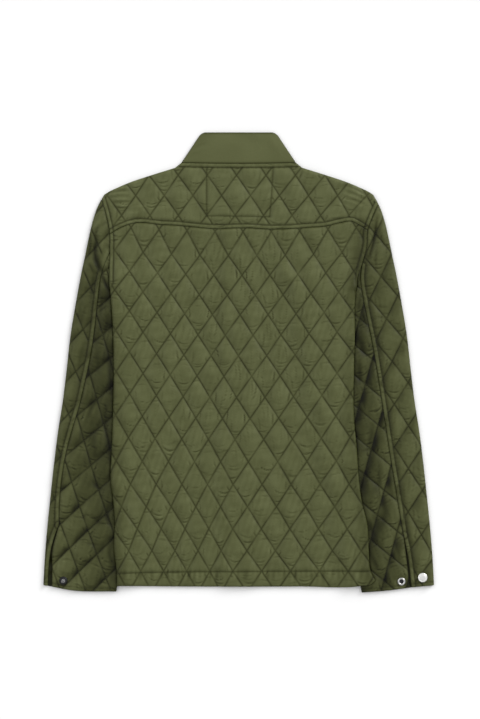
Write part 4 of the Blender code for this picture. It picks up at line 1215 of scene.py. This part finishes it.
def build_yoke():
    left, right = (armhole(side, 0, YOKE_CORNER) for side in BOTH)
    seam, neck = curve(YOKE_SEAM), neck_seam()
    shoulders = [curve(mirrored(SHOULDER, side)) for side in BOTH]
    frame_lines = [curve(line) for line in YOKE_FRAME]
    outline = joined(seam, right[::-1], shoulders[1][::-1], neck[::-1], shoulders[0], left)
    seams = ((seam, 1), (neck, -1), (left, 1), (right, -1))

    def outer(points):
        bands = [(line, 0) for line, _ in seams]
        rise, shade = body_outer(points, YOKE_QUILTING, bands, frame_lines, shoulders)
        height, fold_shade = folded(points, SHOULDER_FOLDS)
        return laid(points, lap_lift(points) + UPPER_TOP + rise + height), shade * fold_shade * YOKE_TONE

    def inner(points):
        return laid(points, lap_lift(points) + UPPER_LAYER)

    rows = [row for line, way in seams for row in in_band(line, way)] + frame_lines
    keep_off = [(line, BAND + 1) for line, _ in seams]
    band_lines = [shifted(line, way * off) for line, way in seams for off in (SEAM_STITCH, BAND)]
    sewing = [("quilting_stitches", YOKE_QUILTING.lines(outline), keep_off),
              ("seam_stitches", band_lines + frame_lines, (), SEAM_MARGIN)]
    panel("yoke", outline, outer, inner, YOKE_QUILTING, BODY_MESH, rows, sewing, FRONTS)


def build_front(word, side):
    arm, neck, edge, hem = curve(ARMHOLE[side]), front_neck(side), curve(EDGE[side]), curve(HEM)
    edge[:, 0] -= side * FRONT_INSET * clamp((ARMHOLE[side][-1][1] - edge[:, 1]) / FRONT_INSET_RUN)
    lap, hem_y = -side * LAP_HALF, HEM[2][1]
    hem = hem[(hem[:, 0] - lap) * side > 1]
    hem = hem[np.argsort(hem[:, 0] * side)]
    hem = np.vstack([[(lap, hem_y)], hem[hem[:, 0] * side < edge[-1, 0] * side - 2]])
    shoulder = curve(mirrored(SHOULDER, side))
    middle = curve(((lap, neck[-1][1]), (lap, hem_y)))
    outline = joined(hem, edge[::-1], arm[::-1], shoulder[::-1], neck, [(0, neck[-1][1])], middle)

    def level(points):
        return side_lift(points) + (lap_lift(points) if side == RIGHT else 0.0)

    def outer(points):
        gap = BACK_QUILTING.padding(points, (0, 0))[2]
        channel = CHANNEL * bell(gap, CHANNEL_WIDTH)
        lifted = level(points) > LEAST_LIFT
        channel = channel + FRONT_DENT * (1 + waves(points, FRONT_DENT_LENGTH, 5)) * lifted
        return laid(points, level(points) + channel), BENEATH_TONE * stitch_shade(gap)

    def inner(points):
        return laid(points, level(points) + WALL)

    sewing = [("stitches", BACK_QUILTING.lines(outline))]
    rests_on = () if side == LEFT else FRONTS[:1]
    panel(f"front_{word}", outline, outer, inner, BACK_QUILTING, FRONT_MESH, (), sewing, rests_on, -1)


# Collar

def build_collar():
    """One band folded at both sides: its back part on top, its front ends meeting beneath."""
    reach, top = NECK_HALF, COLLAR_HEIGHT

    def place(points, radius, swell=0.0):
        u, v = points.T
        past = np.abs(u) - reach
        half = read(COLLAR_FOLD, v)
        inward, drop = round_collar(np.abs(past), half)
        turn = np.clip(past, -FOLD_ARC, FOLD_ARC) / FOLD_RADIUS
        inward = np.where(np.abs(past) <= FOLD_ARC, FOLD_RADIUS - radius * np.cos(turn), inward)
        drop = np.where(past < 0, NECK_SAG * (1 - (u / reach) ** 2) * (1 - v / top), drop)
        z = FOLD_RADIUS - radius * np.sin(turn) + swell
        return np.column_stack([np.sign(u) * (half - inward), NECK_Y + v - drop, z])

    def outer(points):
        u, v = points.T
        on_top = clamp((reach - np.abs(u)) / COLLAR_TURN)
        swell = COLLAR_SWELL * np.sin(math.pi * clamp(v / top)) + ripples(points, COLLAR_WAVE, 8)
        height, shade = folded(points, COLLAR_FOLDS)
        shade = shade * (1 + ripples(points, COLLAR_MOTTLE, 46))
        # Painted shade along the collar's edges and where it turns down at its sides
        for gap in (v, top - v, np.abs(reach - np.abs(u))):
            shade = shade * (1 - COLLAR_EDGE_SHADE * bell(gap, COLLAR_EDGE_SHADE_WIDTH))
        return place(points, FOLD_RADIUS, (swell + height) * on_top), shade

    def inner(points):
        return place(points, FOLD_CORE)

    corners = ((-2 * reach, 0), (2 * reach, 0), (2 * reach, top), (-2 * reach, top), (-2 * reach, 0))
    outline = joined(*(curve(pair) for pair in zip(corners, corners[1:])))
    parts = (-1, -0.66, -0.33, 0, 0.33, 0.66, 1)
    turns = [side * (reach + part * FOLD_ARC) for side in BOTH for part in parts]
    rows = [curve(((u, 0), (u, top))) for u in turns]
    made = shell("collar_cloth", outline, outer, inner, spread(outline, COLLAR_STEP), rows, 1, COLLAR_STEP)
    dress(made, "collar", outline, olive_collar, FRONTS)


# Sleeves

FOLD_LINE = curve(SLEEVE_FOLD)[:, ::-1]


def smooth_fold_x(y):
    """Distance from the middle of a sleeve's outer fold at a height."""
    return np.interp(y, FOLD_LINE[::-1, 1], FOLD_LINE[::-1, 0])


def clear_of_fold(line, side):
    """The part of a line that lies further in than the round of a sleeve's outer fold."""
    return line[smooth_fold_x(line[:, 1]) - side * line[:, 0] > FOLD_RADIUS]


def beneath(line, side):
    """Points of the lower layer, put on the unrolled sleeve."""
    x, y = np.array(line, float).T
    return np.column_stack([side * (2 * smooth_fold_x(y) + 2 * UNROLLED - side * x), y])


def hidden_lines(side):
    """A sleeve's inner fold from the cuff up, and on from there to the armhole."""
    top = (side * INSEAM_TOP[0], INSEAM_TOP[1])
    return curve((CUFF[side][-1], top)), curve((top, ARMHOLE[side][-1]))


def build_top_sleeve(word, side):
    """The strip outside the elbow seam, on round the outer fold, and the whole lower layer."""
    elbow, vent, cuff = (curve(table[side]) for table in (ELBOW, VENT_STRIP, CUFF))
    quilting = sleeve_quilting(TOP_ANCHOR[side], TOP_TILT[side], 20 + side)
    fold = mirrored(FOLD_LINE, side)
    tip_y = ARMHOLE[side][0][1] - TIP_DROP
    tip = (side * (smooth_fold_x(tip_y) + UNROLLED), tip_y)
    arm_top, arm_low = (clear_of_fold(armhole(side, 0, end), side) for end in (ELBOW_CORNER, -1))
    inseam, underarm = hidden_lines(side)
    strip_end = curve((VENT_STRIP[side][-1], tuple(fold[-1])))
    lower = (np.vstack([fold[-1:], cuff[1:]]), inseam, underarm, arm_low[::-1])
    outline = joined([tip], arm_top, elbow, vent, strip_end, *(beneath(line, side) for line in lower))
    sewn_line = joined_line(elbow, vent)
    hem_line = strip_end + (0, CUFF_STITCH)

    def lie(points, radius):
        x, y = points.T
        u = smooth_fold_x(y) - side * x + UNROLLED
        turn = np.clip(u, -FOLD_ARC, FOLD_ARC) / FOLD_RADIUS
        inward = FOLD_RADIUS - radius * np.cos(turn) + np.maximum(np.abs(u) - FOLD_ARC, 0)
        x = side * (smooth_fold_x(y) - inward)
        return u, np.column_stack([x, y, FOLD_RADIUS + radius * np.sin(turn)])

    def outer(points):
        u, made = lie(points, FOLD_RADIUS)
        puff, folds, gap, across = quilting.padding(points, SLEEVE_PUCKERS)
        bands = ((elbow, 0), (vent, 0))
        rise, shade, shown = sewn(points, PUFF * puff + folds, bands, (arm_top, hem_line))
        share = bulge(points, elbow, arm_top, side)
        rise = rise * (1 - share) + BULGE * share
        rise = rise * (TURN_FLOOR + (1 - TURN_FLOOR) * pressed((u - FOLD_ARC) / VALLEY))
        rise = rise + ripples(points, DENT, 6)
        if side == RIGHT:
            rise = rise * beside_snap(points, CAP_PLACE[side])
        height, fold_shade = folded(points, SLEEVE_FOLDS[side])
        height = height * clamp(gap_to(points, arm_top) / VALLEY)
        top = np.maximum(rise + height, LOWEST_PUFF) * (u > FOLD_ARC * 0.5)
        bottom = CHANNEL * bell(gap, CHANNEL_WIDTH) * clamp(-u / FOLD_ARC)
        if side == LEFT:
            away = lengths(made[:, :2] - CAP_PLACE[side])
            recess = RECESS_DEPTH * clamp((RECESS_RADIUS + RECESS_SLOPE - away) / RECESS_SLOPE)
            bottom = np.where(u < 0, np.maximum(bottom, recess), bottom)
        made[:, 2] += np.where(u > 0, top, bottom)
        beside = gap_to(points, sewn_line, 25.0) - BAND
        # Painted shade and light of the strip: puckers, flanks, crumples, beside the seam's band, by height,
        # in its lines and folds, and painted light on the bulge
        upper = pucker_shade(folds) * flank_shade(points, across, side, STRIP_FLANK)
        upper = upper * cloud(points, 40 + side)
        upper = upper * (1 - BESIDE_SEAM_SHADE * (beside > 0) * bell(beside, BESIDE_SEAM_SHADE_WIDTH))
        upper = shade * stronger(upper, STRIP_CONTRAST[side])
        upper = upper * read(STRIP_SHADE[side], points[:, 1]) * stitch_shade(gap, SLEEVE_LINES * shown)
        upper = (upper * (1 - share) + BULGE_PAINTED_LIGHT * share) * fold_shade
        lower = BENEATH_TONE * stitch_shade(gap)
        return made, lower + (upper - lower) * soft(1 + u / TONE_FADE)

    def inner(points):
        return lie(points, FOLD_CORE)[1]

    rows = in_band(sewn_line, side)
    rows += [fold + (side * (UNROLLED - part * FOLD_ARC), 0) for part in (-1, -0.5, 0, 0.5, 1)]
    keep_off = [(sewn_line, BAND + 1), (arm_top, 2)]
    band_lines = [shifted(sewn_line, side * SEAM_STITCH), shifted(sewn_line, side * BAND), hem_line]
    sewing = [("quilting_stitches", quilting.lines(outline), keep_off),
              ("seam_stitches", band_lines, (), SEAM_MARGIN)]
    panel(f"top_sleeve_{word}", outline, outer, inner, quilting, SLEEVE_MESH, rows, sewing)


def build_under_sleeve(word, side):
    """The upper layer from the elbow seam to the inner fold, plain where it lies under the body."""
    elbow, vent, cuff, edge = (curve(table[side]) for table in (ELBOW, VENT_UNDER, CUFF, EDGE))
    quilting = sleeve_quilting(UNDER_ANCHOR[side], UNDER_TILT[side], 30 + side)
    arm_low = armhole(side, ELBOW_CORNER)
    outline = joined(elbow, vent, cuff, *hidden_lines(side), arm_low[::-1])
    outline = outline[lengths(outline - np.array(ELBOW[side][0])) > TIP_BLUNT]
    hidden_edge = edge if side == LEFT else joined_line(edge, np.array(HEM[-2:-4:-1], float))
    hem_line = cuff + (0, CUFF_STITCH)

    def outer(points):
        x, y = points.T
        puff, folds, gap, across = quilting.padding(points, UNDER_PUCKERS)
        rise, shade, shown_lines = sewn(points, PUFF * puff + folds, (), (elbow, vent, hem_line), (cuff,))
        height, fold_shade = folded(points, UNDER_FOLDS[side])
        share = bulge(points, elbow, arm_low, side)
        rise = (rise + height + ripples(points, DENT, 9)) * clamp(gap_to(points, elbow) / ELBOW_CLEAR)
        rise = (rise * (1 - share) + BULGE * share) * beside_snap(points, SOCKET_PLACE[side])
        shown = side * (x - np.interp(y, hidden_edge[::-1, 1], hidden_edge[::-1, 0]))
        free = np.where(y < hidden_edge[:, 1].min(), 1.0, pressed(shown / EDGE_VALLEY))
        # Painted shade in patchy hollows beside the body's edge
        patchy = clamp(POCKET_SHADE_MEAN + ripples(points, POCKET_SHADE_MOTTLE, 10))
        pocket_shade = bell(np.maximum(shown, 0), POCKET_SHADE_WIDTH) * patchy
        # Painted shade by distance from the body's edge, with painted light by height
        tone = np.minimum(read(UNDER_SHADE[side], shown) * read(UNDER_PAINTED_LIGHT[side], y), 1.0)
        # Painted shade and light of puckers, crumples and diamond flanks, with more contrast
        uneven = pucker_shade(folds) * cloud(points, 42 + side)
        uneven = uneven * flank_shade(points, across, side, UNDER_FLANK[side])
        shade = shade * stitch_shade(gap, SLEEVE_LINES * shown_lines) * stronger(uneven, UNDER_CONTRAST[side])
        shade = shade * tone * (1 - POCKET_SHADE_DARK * pocket_shade)
        shade = (shade * (1 - share) + BULGE_PAINTED_LIGHT * share) * fold_shade
        level = UPPER_TOP + np.maximum(rise, LOWEST_PUFF) * free
        return laid(points, level), np.where(shown > -EDGE_REACH, shade, 1.0)

    def inner(points):
        return laid(points, UPPER_LAYER)

    sewing = [("stitches", quilting.lines(outline) + [hem_line])]
    rests_on = (f"top_sleeve_{word}_cloth",)
    panel(f"under_sleeve_{word}", outline, outer, inner, quilting, SLEEVE_MESH, (), sewing, rests_on)


# Snaps

def turned(name, profile, place, materials):
    """A turned snap part on the cloth, whose profile runs from its axis over the top to its axis beneath."""
    angles = np.linspace(0, 2 * math.pi, SNAP_SIDES, endpoint=False)
    points = [(0, 0, profile[0][1])]
    for radius, level, _ in profile[1:-1]:
        points += [(radius * math.cos(t), radius * math.sin(t), level) for t in angles]
    points.append((0, 0, profile[-1][1]))
    faces = []
    last = len(profile) - 2
    for row in range(last + 1):
        for k in range(SNAP_SIDES):
            start = 1 + (row - 1) * SNAP_SIDES
            here, after = start + k, start + (k + 1) % SNAP_SIDES
            if row == 0:
                faces.append((0, here + SNAP_SIDES, after + SNAP_SIDES))
            elif row == last:
                faces.append((len(points) - 1, after, here))
            else:
                faces.append((here, here + SNAP_SIDES, after + SNAP_SIDES, after))
    made = add_object(name, np.array(points) + (*place, UPPER_TOP + SEAM_GAP), faces)
    for material in materials:
        made.data.materials.append(material)
    made.data.polygons.foreach_set("material_index", [row[2] for row in profile[:-1] for _ in angles])
    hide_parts(f"snap_{name}")


def build_snaps():
    # The left socket is the right one's stud painted as in shade: black, with a grey painted highlight in its
    # middle; the right one's middle is painted black as a dark reflection
    turned("socket_left", SOCKET_PROFILE, SOCKET_PLACE[LEFT], (snap_painted_shade, snap_painted_glint))
    turned("socket_right", SOCKET_PROFILE, SOCKET_PLACE[RIGHT], (steel, snap_painted_shade))
    turned("cap_right", CAP_PROFILE, CAP_PLACE[RIGHT], (silver,))
    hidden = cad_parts["snap_cap_left"]
    hidden.data.materials.clear()
    hidden.data.materials.append(silver)


# Stage

def build_stage():
    data = bpy.data.meshes.new("floor")
    corners = [(FLOOR_HALF * x, FLOOR_HALF * y, 0) for x, y in ((-1, -1), (1, -1), (1, 1), (-1, 1))]
    data.from_pydata(corners, [], [(0, 1, 2, 3)])
    data.materials.append(floor_material("floor_paper"))
    floor = linked("floor", data)

    world = bpy.context.scene.world or bpy.data.worlds.new("studio")
    bpy.context.scene.world = world
    world.use_nodes = True
    light = world.node_tree.nodes["Background"]
    light.inputs["Color"].default_value = (1.0, 1.0, 1.0, 1.0)
    light.inputs["Strength"].default_value = WORLD_LIGHT

    for name, strength, softness, way in SUNS:
        sun = bpy.data.lights.new(name, "SUN")
        sun.energy = strength
        sun.angle = math.radians(softness)
        linked(name, sun).rotation_euler = Vector(way).to_track_quat("Z", "Y").to_euler()

    camera = bpy.data.cameras.new("camera")
    camera.lens = CAMERA_LENS
    camera.clip_end = CAMERA_REACH
    viewer = linked("camera", camera)
    viewer.location = CAMERA_PLACE
    bpy.context.scene.camera = viewer
    bpy.context.scene.view_settings.view_transform = "Standard"


olive = cloth_material("olive_quilted_nylon", OLIVE)
olive_collar = cloth_material("olive_collar_nylon", OLIVE_COLLAR)
thread = thread_material("olive_thread", THREAD)
# Black and grey snap metal: painted shade and a painted highlight on copies of the steel socket
snap_painted_shade = metal_material("snap_metal_painted_shade", (0.015, 0.015, 0.016, 1.0), 0.35, 0.6)
snap_painted_glint = metal_material("snap_metal_painted_glint", (0.25, 0.25, 0.25, 1.0), 0.35, 1.0)
steel = metal_material("steel_snap_metal", (0.58, 0.58, 0.57, 1.0), 0.3, 1.0)
silver = metal_material("silver_snap_metal", (0.86, 0.86, 0.84, 1.0), 0.36, 1.0)

build_back()
build_yoke()
build_collar()
for word, way in SIDES.items():
    build_front(word, way)
    build_top_sleeve(word, way)
    build_under_sleeve(word, way)
build_snaps()
build_stage()
